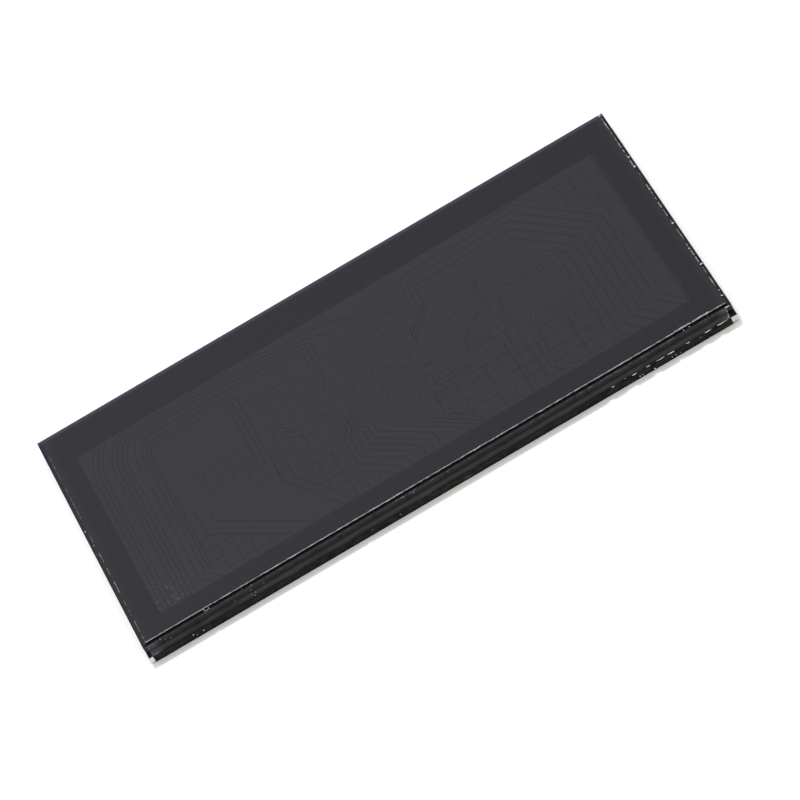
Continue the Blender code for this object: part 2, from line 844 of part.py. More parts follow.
def add_common_feeds(collection, cutters, material):
    """The pads that lead the common electrodes out to the ledge."""
    for side, place in crossover_places():
        land = CROSSOVER_DIAMETER / 2 + CROSSOVER_LAND
        outlines = [
            rectangle(place - PAD_WIDTH / 2, PAD_TIP, place + PAD_WIDTH / 2, CROSSOVER_LINE),
            rounded_rectangle(
                place - land,
                CROSSOVER_LINE - land,
                place + land,
                CROSSOVER_LINE + land,
                0.25,
                3,
            ),
        ]
        feed = joined_plate(
            "common_feed_" + side,
            outlines,
            ELECTRODE_BOTTOM,
            ELECTRODE_THICKNESS,
            collection,
            cutters,
        )
        dress(feed, material)


def main():
    """Builds the cell from its rear face to its viewing face."""
    clear_scene()
    parts = new_collection("lcd_panel")
    cutters = new_collection("cutters")
    glass = make_material("float_glass", (0.55, 0.60, 0.60), 0.05, 0.0, 0.8)
    film = make_material("polarizing_film", (0.045, 0.042, 0.052), 0.12)
    oxide = make_material("transparent_conductor", (0.16, 0.16, 0.18), 0.15)
    polyimide = make_material("alignment_film", (0.07, 0.07, 0.075), 0.3)
    fluid = make_material("liquid_crystal", (0.06, 0.062, 0.066), 0.1)
    epoxy = make_material("seal_epoxy", (0.05, 0.05, 0.055), 0.5)
    silver = make_material("conductive_glue", (0.45, 0.45, 0.44), 0.45, 0.6)

    add_polarizers(parts, film)
    add_rear_glass(parts, cutters, glass)
    add_segment_electrodes(parts, cutters, oxide)
    add_common_feeds(parts, cutters, oxide)
    add_alignment_layers(parts, polyimide)
    add_liquid_crystal(parts, fluid)
    add_seal(parts, epoxy)
    add_plug(parts, epoxy)
    add_crossovers(parts, silver)
    add_common_electrodes(parts, cutters, oxide)
    add_front_glass(parts, glass)


main()
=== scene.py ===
"""The looks of a bare segment LCD panel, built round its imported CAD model.

Lengths are in millimetres and are turned into metres where an object is made.
Only the studio's own sizes are given in metres.
"""

import json
import math
import random

import bmesh
import bpy
from mathutils import Matrix, Vector


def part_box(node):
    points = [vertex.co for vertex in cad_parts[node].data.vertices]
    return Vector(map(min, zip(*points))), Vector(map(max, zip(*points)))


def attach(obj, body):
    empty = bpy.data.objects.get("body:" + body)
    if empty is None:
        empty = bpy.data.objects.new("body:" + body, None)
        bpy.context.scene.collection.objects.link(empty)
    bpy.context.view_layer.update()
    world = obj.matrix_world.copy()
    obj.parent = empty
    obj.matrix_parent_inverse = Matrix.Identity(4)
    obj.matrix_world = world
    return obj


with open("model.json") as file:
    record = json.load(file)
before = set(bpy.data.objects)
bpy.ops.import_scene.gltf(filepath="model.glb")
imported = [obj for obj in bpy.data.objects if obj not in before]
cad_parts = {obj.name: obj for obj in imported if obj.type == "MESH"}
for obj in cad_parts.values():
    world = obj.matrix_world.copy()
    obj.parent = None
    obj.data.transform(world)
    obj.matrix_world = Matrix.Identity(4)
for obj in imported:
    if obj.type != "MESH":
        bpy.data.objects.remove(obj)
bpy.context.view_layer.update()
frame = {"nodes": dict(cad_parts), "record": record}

MM = 0.001

# The camera: the direction it looks in, its roll, its place and its lens
YAW, ELEVATION, ROLL = 0.957, 50.621, -29.622
CAMERA_AT = (-6.255, -441.278, 533.406)
LENS, SENSOR = 207.562, 36.0

# The studio in metres and watts: what the camera reaches, the lamp and the floor
CLIP_NEAR, CLIP_FAR = 0.01, 20.0
LAMP_AT = (-0.03, 0.69, 1.0)
LAMP_SIZE, LAMP_POWER = 0.22, 8.1
FLOOR_HALF, FLOOR_DROP = 2.0, 0.00001

# Levels of world and floor as they light the panel, and as the camera and the gloss see them
WORLD_TINT = (1.0, 0.99, 0.98, 1.0)
WORLD_LIT, WORLD_SEEN = 0.70, 1.0
FLOOR_LIT, FLOOR_SEEN = (0.80, 0.80, 0.80), (1.0, 1.0, 1.0)
FLOOR_GLOW, GLOW_TINT = 0.06, (1.0, 1.0, 1.0, 1.0)

# Levels and edges of the panel, read from the frame
FILM_LOW, FILM_HIGH = [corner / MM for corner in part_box("front_polarizer")]
REAR_LOW, REAR_HIGH = [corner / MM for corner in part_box("rear_glass")]
FRONT_LOW, FRONT_HIGH = [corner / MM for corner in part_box("front_glass")]
REAR_FILM_LOW, REAR_FILM_HIGH = [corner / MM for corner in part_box("rear_polarizer")]
NEAR = FRONT_LOW.y
END = FILM_HIGH.x

# The corners of an upright rectangle, in order, as shares of its half sizes
CORNERS = ((-1, -1), (1, -1), (1, 1), (-1, 1))

# The viewing window as it shows through the film: middle, half sizes, lean of its sides, soft edges
WINDOW_MIDDLE = (-0.19, -0.56)
WINDOW_HALF = (45.25, 17.13)
WINDOW_LEAN = (0.0087, -0.0047)
WINDOW_SOFT, WINDOW_SOFT_RIGHT = 0.12, 0.45

# Where the two lower tiers stop to the eye, and where the painted highlight, a lighter stretch
# inside that, begins
TIER_ENDS, TIER_SOFT = (-49.36, 48.95), 0.04
END_HIGHLIGHT_FROM, END_HIGHLIGHT_FULL = 47.2, 48.4

# How far out the film's tone still changes from the left to the right
TONE_SPAN = 48.0

# How strongly each kind of surface mirrors, as the shader's specular level
GLOSSY, CUT, DULL, FOOT_SHADE_GLOSS, MATT = 0.367, 0.225, 0.112, 0.075, 0.0

# Painted light and shade: on the front plate's near rim by y, darker towards the film's edge; on
# its sides by z; and on the contact ledge by y, with a painted highlight band
NEAR_RIM_PAINTED_SHADE = [
    (-21.9, (0.012, 0.012, 0.013)), (-21.7, (0.006, 0.006, 0.007)),
    (-21.4, (0.001, 0.001, 0.001)),
]
SIDE_PAINTED_LIGHT = [
    (1.61, (0.045, 0.045, 0.050)), (2.0, (0.033, 0.033, 0.037)), (2.25, (0.033, 0.032, 0.036)),
    (2.45, (0.046, 0.045, 0.049)), (2.72, (0.026, 0.025, 0.028)),
]
LEDGE_PAINTED_LIGHT = [
    (-23.1, (0.001, 0.001, 0.001)), (-22.9, (0.010, 0.010, 0.010)),
    (-22.7, (0.042, 0.043, 0.048)), (-22.5, (0.080, 0.082, 0.092)),
    (-22.3, (0.096, 0.098, 0.110)), (-22.1, (0.080, 0.082, 0.092)),
    (-21.9, (0.064, 0.065, 0.073)),
]

# Inner layers by slot: material, two tones, least roughness, and cells per metre and metal share
LAYERS = {
    "alignment_film": ("alignment_film_dark", (0.060, 0.060, 0.065), (0.075, 0.075, 0.080), 0.3),
    "liquid_crystal": ("liquid_crystal_dark", (0.055, 0.057, 0.060), (0.066, 0.068, 0.072), 0.1),
    "seal_epoxy": ("seal_epoxy_dark", (0.012, 0.012, 0.013), (0.026, 0.026, 0.028), 0.45),
    "conductive_glue": ("silver_glue", (0.35, 0.35, 0.34), (0.50, 0.50, 0.49), 0.4, 2500.0, 0.6),
}

# Broken edges: material, dark and light tone, and the noise levels between which it turns light
# The film's pale cut edge: chips with a painted glint along them
FILM_CHIPS_AND_GLINT = ("film_chips_and_glint_pale", (0.12, 0.12, 0.12), (0.42, 0.42, 0.43), 0.36, 0.66)
# The glass chips' material also carries a painted highlight on the front plate's near edge
GLASS_CHIPS_AND_HIGHLIGHT = ("glass_chips_and_highlight_pale", (0.50, 0.50, 0.50), (0.95, 0.95, 0.95), 0.30, 0.56)
GLASS_GLINTS = ("glass_glints_pale", (0.02, 0.02, 0.02), (0.22, 0.22, 0.22), 0.40, 0.64)

# How far chips and glints stand over the face that they lie on
PROUD = 0.006

# A broken run: its wobble and its tips as shares of its width, and the chance of a break
WOBBLE, TIP_SHARE, BREAK_CHANCE = 0.15, 0.1, 0.07

# The white line on the film's near edge, chipped cut edge and painted glint: inset, depth, widths,
# inner marks, and a lifted stretch
EDGE_LINE_INSET, EDGE_LINE_DEPTH = 0.11, 0.03
EDGE_LINE_WIDTHS, EDGE_LINE_MARKS = (0.17, 0.21), 16
LIFTED, LIFTED_SHIFT, LIFTED_WIDER = (40.6, 46.6), 0.07, 0.10

# The runs along the film's side edges: how much thinner the left ones are, and both sides' shift
LEFT_RUN_SHARE = 0.8
RUN_SHIFTS = (0.10, 0.17)

# Grains: corners, spread of their tops, and how much larger than they look they are drawn
GRAIN_CORNERS, GRAIN_TOP = 7, 0.015
GRAIN_GROWTH, OUTER_GRAIN_GROWTH = 1.6, 2.1
GRAIN_STRETCH = (1.1, 0.8, 0.9)

# Crumbs round the broken spot of the film's near edge: number, size and stretch, and their ring
CRUMBS, CRUMB_SIZE, CRUMB_STRETCH = 9, 0.16, (1.3, 1.0, 0.8)
CRUMB_MIDDLE, CRUMB_REACH = (-39.1, -21.40), (0.36, 0.26)

# Crumbs where the tiers stop: the share of the row that comes down the front plate, the share
# after which it bends inward, how far it bends, and its length down the plate and over the ledge
END_CRUMBS, END_CRUMB_STRETCH = 16, (0.9, 0.8, 0.9)
LEFT_CRUMB_SIZE, RIGHT_CRUMB_SIZES = 0.13, (0.12, 0.24)
DOWN_SHARE, BEND_SHARE, BEND_REACH = 0.4, 0.55, 0.8
CRUMB_ROW_TOP, CRUMB_ROW_LENGTH = 2.62, 1.1

# Glints: depth and width of the bright ones, and reach, widths, lengths and gaps of the faint ones
GLINT_DEPTH, GLINT_WIDTH = 0.05, 0.10
FAINT_REACH, FAINT_WIDTHS, FAINT_LENGTHS, FAINT_GAPS = 48.0, (0.02, 0.05), (0.3, 1.6), (0.2, 1.8)

# Painted shade at the foot of the film's edges, drawn as dark strips: depth, height and step, and
# both lines' y, reach, width
FOOT_SHADE_DEPTH, FOOT_SHADE_RISE, FOOT_SHADE_STEP = 0.01, 0.012, 0.5
FOOT_SHADE_LINES = [(FILM_LOW.y - 0.17, END + 0.02, 0.36), (FILM_HIGH.y + 0.03, END, 0.06)]

# Round of the rear film's corners, its steps, and how far its adhesive stays inside the film
FILLET, FILLET_STEPS, FILLET_INSET = 1.2, 8, 0.004

# Etched lines: widths, how proud of the film they are, and how far inside the window they stay
BOLD, PLAIN, FINE, FAINT = 0.17, 0.14, 0.09, 0.06
LINE_RISE = 0.004
LINE_INSET, SQUARE_INSET = 0.12, 0.5

# Shares of that rise: every line's, a level line's extra and each line's own, in so many steps,
# so that the tops of lines that cross don't lie in one plane
BASE_RISE, LEVEL_RISE, OWN_RISE, RISE_STEPS = 0.3, 0.35, 0.3, 61

# Where most routes end, at the window's near side
FOOT = -17.9

# Routes that bend round the upper left corner: x of the upright part and y of the level part
NEST_CENTRE, NEST_STEPS = (-34.5, 9.5), 8
NEST = [
    (-35.86, 11.86), (-36.65, 12.94), (-37.76, 14.18), (-39.16, 14.98), (-39.97, 15.70),
    (-40.76, 16.40), (-41.56, 17.20), (-43.06, 18.90), (-43.84, 19.70), (-44.64, 20.50),
]

# Their level parts: drop by x, and the room left before their ends
NEST_DROP = [
    (-23.0, 0.0), (-19.0, 0.48), (-16.0, 0.97), (-13.5, 1.45), (-10.0, 2.18), (-6.0, 2.95),
]
NEST_CLEAR = 0.3

# Other feet by x, and other ends by y
NEST_FEET = {
    -35.86: [(-35.86, -15.3)],
    -36.65: [(-34.4, FOOT), (-36.65, -15.6)],
    -37.76: [(-36.2, FOOT), (-37.76, -16.3)],
}
NEST_ENDS = {
    11.86: [(-21.2, 11.5), (-20.3, 10.9), (-20.08, 10.2), (-20.08, -1.0)],
    12.94: [(-10.9, 10.8)],
    14.18: [(-8.6, 11.9), (-8.08, 11.4), (-8.08, 8.5)],
    14.98: [(-7.7, 12.3), (-7.15, 11.8), (-7.15, 5.1), (-7.95, 4.1), (-8.05, 2.9)],
    15.70: [(-6.7, 12.9), (-6.2, 12.3), (-6.2, 8.9)],
    16.40: [(-6.0, 13.5), (-4.0, 12.9), (-3.2, 12.1), (-3.2, 10.6)],
    17.20: [(-6.0, 14.8), (-2.0, 14.2), (0.5, 13.3), (1.16, 12.5), (1.16, 10.6)],
}

# Routes of the right-hand bundle: x of the upright, its top and foot, and y of the level part
RIGHT_BUNDLE = [
    (33.92, 2.35, -15.9, None), (35.44, 2.96, -15.3, 10.68), (36.92, 3.78, -14.6, 12.08),
    (38.40, 4.30, -14.1, 13.52), (39.86, 4.89, -12.8, 14.84), (41.34, 5.40, -12.8, 16.1),
]

# The slant below its feet, the first route's turn, and where the last one ends
BUNDLE_SLANT, BUNDLE_TURN, BUNDLE_END = 0.9, 2.9, 24.0

# Routes of the fan in the middle: x and top of the upright, rise of the slant, and its foot
FAN_SLOPE = -0.8
FAN = [
    (-9.28, -13.9, -21.32, -5.28), (-9.12, -6.9, -19.72, -4.00), (-8.16, -7.3, -18.10, -2.24),
    (-7.20, -5.0, -16.50, -0.80), (-6.12, -7.4, -15.16, 0.36), (-5.08, -7.3, -13.70, 1.68),
    (-4.20, -6.9, -12.20, 2.96), (-2.16, -6.9, -10.95, None),
]

# The other routes, each with its width
ROUTES = [
    (BOLD, [(-35.36, -15.1), (-35.36, 9.9), (-34.9, 10.65), (-21.92, 10.65), (-21.92, -4.45)]),
    (PLAIN, [(-21.0, 10.8), (-21.0, -3.2)]),
    (BOLD, [(-32.0, -6.2), (-31.9, -7.83), (-18.4, FOOT)]),
    (BOLD, [(-33.9, -4.6), (-33.75, -9.42), (-22.0, FOOT)]),
    (FAINT, [(-32.9, -8.75), (-20.1, FOOT)]),
    (PLAIN, [(-20.1, -5.3), (-20.1, -7.9), (-17.44, -12.0), (-15.52, -15.0), (-13.6, FOOT)]),
    (PLAIN, [(-18.1, -5.0), (-18.1, -8.5), (-15.92, -11.8), (-14.2, -14.3), (-11.9, FOOT)]),
    (FINE, [(-24.2, -6.2), (-23.2, -6.6), (-22.0, -6.5), (-20.6, -4.9)]),
    (PLAIN, [(-16.8, -8.0), (-11.44, -8.0), (-11.44, FOOT)]),
    (FINE, [(-10.12, -6.4), (-10.12, -12.6), (-9.28, -13.9), (-9.28, FOOT)]),
    (PLAIN, [(-7.32, -14.9), (-7.32, FOOT)]),
    (PLAIN, [(-9.12, -7.0), (-8.5, -6.3), (-8.0, -5.6), (-7.95, -4.6)]),
    (PLAIN, [(-8.16, -7.4), (-7.55, -6.5), (-7.3, -5.2), (-7.5, -2.6)]),
    (PLAIN, [(-7.2, -5.1), (-6.98, -3.0)]),
    (PLAIN, [(-6.12, -7.5), (-6.6, -6.9), (-6.65, -4.4), (-6.45, -2.6)]),
    (PLAIN, [(-4.9, -7.3), (-6.0, -6.6), (-6.1, -4.7)]),
    (BOLD, [(3.7, -12.0), (10.9, FOOT)]),
    (PLAIN, [(3.3, -12.5), (9.2, -17.4)]),
    (PLAIN, [(6.3, -12.9), (9.6, -15.5)]),
    (FINE, [(3.74, -6.3), (3.74, -11.2)]),
    (BOLD, [(5.8, -7.5), (5.8, -12.4)]),
    (PLAIN, [(5.8, -8.42), (18.4, -8.42)]),
    (BOLD, [(5.9, -4.6), (6.9, -4.6), (7.02, -7.1), (7.6, -7.42), (13.0, -7.42)]),
    (PLAIN, [
        (5.9, -2.6), (7.6, -2.6), (8.3, -3.2), (8.36, -5.4), (9.0, -6.4), (10.7, -6.5),
        (12.4, -7.2),
    ]),
    (BOLD, [
        (7.0, 4.1), (11.0, 8.05), (10.68, 8.3), (10.68, 12.3), (11.2, 13.2), (12.3, 13.46),
        (29.18, 13.52),
    ]),
    (BOLD, [(7.35, 3.6), (11.45, 7.75), (11.6, 8.2), (11.6, 11.4), (12.3, 11.96), (28.62, 12.08)]),
    (BOLD, [
        (9.2, 8.15), (9.75, 8.7), (9.8, 12.6), (10.3, 13.9), (11.2, 14.8), (12.6, 14.94),
        (29.91, 14.84),
    ]),
    (BOLD, [(11.3, 6.5), (7.7, 3.1), (7.6, 1.0)]),
    (PLAIN, [(11.66, 6.3), (11.66, 2.4)]),
    (FINE, [(13.4, 11.2), (19.5, 12.0)]),
    (PLAIN, [(17.7, 1.2), (15.9, -0.5), (13.8, -2.7), (13.66, -4.6), (21.3, -4.6)]),
    (PLAIN, [(13.7, -3.68), (17.5, -3.68), (17.6, -4.5)]),
    (BOLD, [(20.28, -0.8), (20.28, -4.4)]),
    (PLAIN, [(21.56, 2.6), (21.56, 0.3), (20.92, -0.8), (20.92, -4.4)]),
    (FINE, [(19.5, 4.4), (19.5, 5.8), (20.2, 7.2), (21.4, 8.6)]),
    (FINE, [(26.3, 11.2), (24.2, 8.8)]),
    (FINE, [(21.5, 10.72), (23.3, 10.72), (23.5, 9.8)]),
    (PLAIN, [(23.5, 3.4), (24.4, 2.1), (26.2, 1.9), (30.2, 2.0)]),
    (PLAIN, [(30.3, 3.0), (26.3, 3.0), (26.3, 3.9), (30.3, 3.9)]),
    (PLAIN, [(31.5, 2.6), (31.5, -0.9), (30.0, -0.9), (30.0, -2.2), (32.4, -2.2)]),
    (PLAIN, [(26.3, -4.8), (27.2, -5.7), (28.6, -6.0), (30.2, -5.5), (31.7, -3.9)]),
    (FINE, [(26.5, -5.8), (26.6, -6.7), (29.0, -6.9), (30.8, -6.2), (31.5, -5.0)]),
    (PLAIN, [(24.2, -4.4), (23.5, -6.3), (23.9, -7.0), (25.8, -7.45), (32.0, -7.45)]),
    (PLAIN, [(23.96, -7.1), (23.96, -14.8), (26.4, -17.1)]),
    (PLAIN, [(22.76, -6.5), (22.76, -15.1), (25.2, FOOT)]),
    (PLAIN, [(21.6, -6.0), (21.6, -16.1), (23.2, FOOT)]),
    (PLAIN, [(19.6, -5.0), (19.6, FOOT)]),
    (BOLD, [(18.6, -6.4), (18.6, FOOT)]),
    (BOLD, [(28.72, -7.45), (28.72, FOOT)]),
    (FINE, [(29.96, -7.6), (29.96, FOOT)]),
    (PLAIN, [(32.48, 3.0), (32.48, FOOT)]),
    (FINE, [(-18.2, 8.6), (-17.0, 7.8), (-15.2, 7.8)]),
    (FINE, [(-16.1, 7.4), (-16.05, 3.2)]),
    (PLAIN, [(-16.7, 0.5), (-14.7, -0.95)]),
    (FINE, [(-16.2, 0.7), (-14.5, -0.5)]),
    (PLAIN, [(-16.4, -1.1), (-14.1, -2.65)]),
    (FINE, [(1.5, 1.15), (2.9, 0.3), (3.8, -0.7)]),
    (FINE, [(-3.2, 10.6), (5.6, 10.6), (6.9, 9.4)]),
    (FINE, [(-3.9, 8.3), (-2.6, 7.3)]),
]

# Dummy squares that fill the free areas: first line and pitch each way, and the areas' corners
RIGHT_GRID = (7.13, 2.36, -10.14, 2.265)
RIGHT_AREAS = [
    [(31.4, 16.8), (42.0, 5.9), (45.3, 5.9), (45.3, 16.8)],
    [(41.34, -12.3), (45.3, -14.9), (45.3, 5.9), (41.9, 5.9), (41.34, 5.2)],
]
OUTER_GRID = (7.08, 2.36, -9.86, 2.265)
OUTER_AREAS = [
    [(5.8, -12.6), (11.2, FOOT), (33.9, FOOT), (33.9, -8.4), (5.8, -8.4)],
    [(-35.3, -9.6), (-35.3, -15.0), (-32.6, FOOT), (-22.3, FOOT), (-33.6, -9.6)],
    [(-16.9, -8.0), (-16.9, -10.4), (-13.9, -14.6), (-11.44, -14.6), (-11.44, -8.0)],
]
INNER_GRID = (-0.21, 1.983, 1.04, 1.898)
INNER_AREAS = [
    [(-20.08, -6.6), (5.7, -6.6), (5.7, 10.5), (-20.08, 10.5)],
    [(5.7, -6.6), (22.0, -6.6), (22.0, 8.7), (11.6, 8.7), (5.7, 3.2)],
    [(-34.0, -4.6), (-22.2, -4.6), (-22.2, 1.1), (-34.0, 1.1)],
]

# The three sets as they are drawn, with width and share kept, and the lines tried each way
SQUARES = [
    (OUTER_GRID, OUTER_AREAS, 0.12, 0.95), (RIGHT_GRID, RIGHT_AREAS, 0.11, 0.90),
    (INNER_GRID, INNER_AREAS, 0.08, 0.80),
]
GRID_REACH = 40

# Pale broken runs along the front film's side edges, chipped edge and painted glint: end, places
# along y, and width
SIDE_RUNS = [
    (1, 22.2, 13.6, 0.16), (1, 13.3, 10.1, 0.17), (1, 9.0, 7.6, 0.07), (1, 6.2, 2.4, 0.12),
    (1, 2.0, -1.4, 0.17), (1, -2.2, -3.4, 0.10), (1, -4.4, -7.0, 0.08), (1, -7.6, -12.4, 0.16),
    (1, -13.2, -14.6, 0.08), (1, -15.4, -17.6, 0.12), (-1, 19.5, 14.0, 0.04), (-1, 12.6, 5.4, 0.05),
    (-1, 2.0, 0.2, 0.05), (-1, -1.9, -3.7, 0.11), (-1, -5.1, -6.8, 0.09), (-1, -8.1, -10.7, 0.12),
    (-1, -12.2, -13.4, 0.07), (-1, -14.0, -15.5, 0.10), (-1, -16.6, -19.0, 0.09),
    (-1, -19.6, -21.1, 0.10),
]

# Pale shell-shaped breaks along the contact ledge's edge: first and last x
LEDGE_SHELLS = [
    (28.6, 29.2), (32.1, 33.0), (34.5, 35.2), (36.2, 37.7), (38.1, 39.3), (41.3, 42.0),
    (44.4, 45.6), (46.6, 48.4),
]

# Their steps, inset, hollow and width, and how deep and how proud of the ledge they are
SHELL_STEPS, SHELL_INSET, SHELL_HOLLOW, SHELL_WIDTH = 7, 0.07, 0.05, 0.085
SHELL_DEPTH, SHELL_RISE = 0.06, 0.008

# Bright glints along the front plate's cut near edge: first and last x
GLINTS = [
    (-49.9, -49.4), (-7.3, -5.7), (-5.2, -3.6), (-1.2, 0.4), (5.2, 6.1), (24.0, 27.2),
    (27.6, 31.4), (32.4, 33.6), (34.2, 36.8), (37.5, 40.4), (49.35, 49.95),
]

# Loose grains and small chips: x, y, z and size
GRAINS = [
    (-47.1, -21.87, 2.71, 0.13), (-46.5, -21.92, 2.20, 0.07), (-45.7, -21.92, 1.73, 0.09),
    (-42.6, -23.10, 1.24, 0.14), (-41.0, -23.10, 0.88, 0.14), (-42.1, -23.10, 0.70, 0.09),
    (-34.9, -21.95, 1.61, 0.09), (-33.2, -21.57, 2.72, 0.08), (-32.1, -21.92, 1.96, 0.13),
    (-31.6, -21.77, 2.72, 0.09), (-32.2, -22.43, 1.49, 0.08), (-31.9, -22.82, 1.49, 0.12),
    (-31.6, -22.33, 1.49, 0.10), (-29.9, -21.92, 1.85, 0.10), (-5.9, -21.92, 2.55, 0.09),
    (-4.2, -21.92, 2.43, 0.14), (-7.5, -23.10, 1.00, 0.06), (-12.2, -23.10, 1.24, 0.07),
    (6.6, -21.28, 2.92, 0.15), (1.7, -21.92, 2.55, 0.08), (-2.0, -21.92, 2.55, 0.07),
    (45.5, -21.92, 2.20, 0.10), (46.1, -21.57, 2.72, 0.07), (42.0, -21.57, 2.72, 0.14),
    (43.0, -21.53, 2.72, 0.12), (43.7, -23.10, 1.24, 0.09), (31.0, -22.82, 1.49, 0.09),
    (-38.6, -21.60, 2.72, 0.10), (-48.7, -22.95, 1.49, 0.06), (35.2, -21.92, 1.73, 0.05),
    (33.1, -23.10, 0.55, 0.13), (33.6, -23.10, 0.50, 0.09), (35.6, -23.10, 0.35, 0.16),
    (38.6, -23.10, 0.60, 0.10), (39.3, -23.10, 0.66, 0.12), (40.0, -23.10, 0.58, 0.08),
    (40.9, -23.09, 0.12, 0.09), (45.0, -23.09, 0.15, 0.08), (49.52, -8.8, 2.90, 0.24),
    (49.55, 12.6, 2.90, 0.29), (49.55, 10.3, 2.90, 0.32), (49.54, 5.0, 2.90, 0.28),
    (49.55, -3.0, 2.90, 0.30), (49.58, -12.5, 2.90, 0.33), (49.57, -18.4, 2.90, 0.34),
    (49.57, -19.6, 2.90, 0.32), (49.45, 22.66, 2.80, 0.28), (-49.66, 2.9, 2.84, 0.24),
    (-49.35, -0.3, 2.91, 0.16), (-49.68, -1.9, 2.82, 0.21), (-49.30, -3.9, 2.92, 0.13),
    (49.75, 22.7, 2.72, 0.20),
]


# Node trees


class Tree:
    """A short way to write a material's node tree."""

    def __init__(self, name):
        self.material = bpy.data.materials.new(name)
        self.material.use_nodes = True
        self.nodes = self.material.node_tree.nodes
        self.links = self.material.node_tree.links
        self.shader = self.nodes["Principled BSDF"]
        self.place = self.add("ShaderNodeTexCoord").outputs["Object"]

    def add(self, kind, inputs=None, **settings):
        """Adds a node, sets it up and feeds its inputs."""
        node = self.nodes.new(kind)
        for key, value in settings.items():
            setattr(node, key, value)
        for key, value in (inputs or {}).items():
            self.feed(node.inputs[key], value)
        return node

    def feed(self, socket, value):
        """Links a socket to another one, or gives it a value."""
        if isinstance(value, bpy.types.NodeSocket):
            self.links.new(value, socket)
        else:
            socket.default_value = value

    def math(self, operation, first, second=0.0):
        """One sum."""
        node = self.add("ShaderNodeMath", {0: first, 1: second}, operation=operation)
        return node.outputs[0]

    def both(self, first, second):
        """The product of two shares."""
        return self.math("MULTIPLY", first, second)

    def axes(self):
        """The place's three parts in millimetres."""
        split = self.add("ShaderNodeSeparateXYZ", {0: self.place}).outputs
        return [self.math("MULTIPLY", split[i], 1 / MM) for i in range(3)]

    def facing(self):
        """The normal's three parts."""
        normal = self.add("ShaderNodeNewGeometry").outputs["Normal"]
        return self.add("ShaderNodeSeparateXYZ", {0: normal}).outputs

    def ramp(self, value, low, high, least=0.0, most=1.0):
        """Goes from one number to another while a value goes from low to high."""
        node = self.add("ShaderNodeMapRange", {0: value, 1: low, 2: high, 3: least, 4: most})
        return node.outputs[0]

    def spread(self, noise, least, most):
        """Goes from one number to another over the range where most of a noise lies."""
        return self.ramp(noise, 0.3, 0.7, least, most)

    def noise(self, scale, detail=3.0, stretch=(1.0, 1.0, 1.0), rough=0.55):
        """Noise with a scale in cells per metre."""
        mapped = self.add("ShaderNodeMapping", {"Vector": self.place, "Scale": stretch})
        node = self.add(
            "ShaderNodeTexNoise",
            {"Vector": mapped.outputs[0], "Scale": scale, "Detail": detail, "Roughness": rough},
        )
        return node.outputs["Fac"]

    def blend(self, share, first, second):
        """A mix of two colours, each three numbers or a socket."""
        node = self.add("ShaderNodeMix", data_type="RGBA")
        self.feed(node.inputs[0], share)
        for i, tone in ((6, first), (7, second)):
            self.feed(node.inputs[i], (*tone, 1.0) if isinstance(tone, tuple) else tone)
        return node.outputs[2]

    def stops(self, value, marks):
        """A colour for each value, blended in between."""
        low, high = marks[0][0], marks[-1][0]
        node = self.add("ShaderNodeValToRGB", {0: self.ramp(value, low, high)})
        points = node.color_ramp.elements
        while len(points) < len(marks):
            points.new(0.5)
        for i, (at, tone) in enumerate(marks):
            points[i].position = (at - low) / (high - low)
            points[i].color = (*tone, 1.0)
        return node.outputs[0]

    def bump(self, height, distance, strength):
        """Feeds the shader's normal from a height, with a distance in metres."""
        node = self.add(
            "ShaderNodeBump", {"Height": height, "Distance": distance, "Strength": strength}
        )
        self.feed(self.shader.inputs["Normal"], node.outputs[0])

    def finish(self, color, roughness, specular=GLOSSY, others=None):
        """Feeds the main sockets and returns the material."""
        main = {"Base Color": color, "Roughness": roughness, "Specular IOR Level": specular}
        for key, value in {**main, **(others or {})}.items():
            self.feed(self.shader.inputs[key], value)
        return self.material


def flat_share(tree):
    """1 on faces that look up or down, 0 on the edges' faces."""
    return tree.ramp(tree.math("ABSOLUTE", tree.facing()[2]), 0.80, 0.90)


def window_share(tree):
    """1 inside the viewing window, 0 outside it."""
    x, y, _ = tree.axes()
    across = tree.math("ADD", x, tree.math("MULTIPLY", y, WINDOW_LEAN[0]))
    along = tree.math("ADD", y, tree.math("MULTIPLY", x, WINDOW_LEAN[1]))
    edges = [
        (across, 0, -1, WINDOW_SOFT), (across, 0, 1, WINDOW_SOFT_RIGHT),
        (along, 1, -1, WINDOW_SOFT), (along, 1, 1, WINDOW_SOFT),
    ]
    shares = []
    for value, axis, way, soft in edges:
        edge = WINDOW_MIDDLE[axis] + way * WINDOW_HALF[axis]
        shares.append(tree.ramp(value, edge + way * soft, edge - way * soft))
    return tree.both(tree.both(*shares[:2]), tree.both(*shares[2:]))


def end_share(tree):
    """1 past the places where the two lower tiers stop, 0 between them."""
    x = tree.axes()[0]
    left, right = TIER_ENDS
    past_left = tree.ramp(x, left + TIER_SOFT, left - TIER_SOFT)
    past_right = tree.ramp(x, right - TIER_SOFT, right + TIER_SOFT)
    return tree.math("ADD", past_right, past_left)


def end_highlight_share(tree):
    """A painted highlight: the lighter stretch just inside both ends."""
    reach = tree.math("ABSOLUTE", tree.axes()[0])
    stretch = tree.ramp(reach, END_HIGHLIGHT_FROM, END_HIGHLIGHT_FULL)
    return tree.both(stretch, tree.math("SUBTRACT", 1.0, end_share(tree)))


def across_share(tree):
    """Goes from 0 at the panel's left end to 1 at its right end."""
    return tree.ramp(tree.axes()[0], -TONE_SPAN, TONE_SPAN)


# Materials


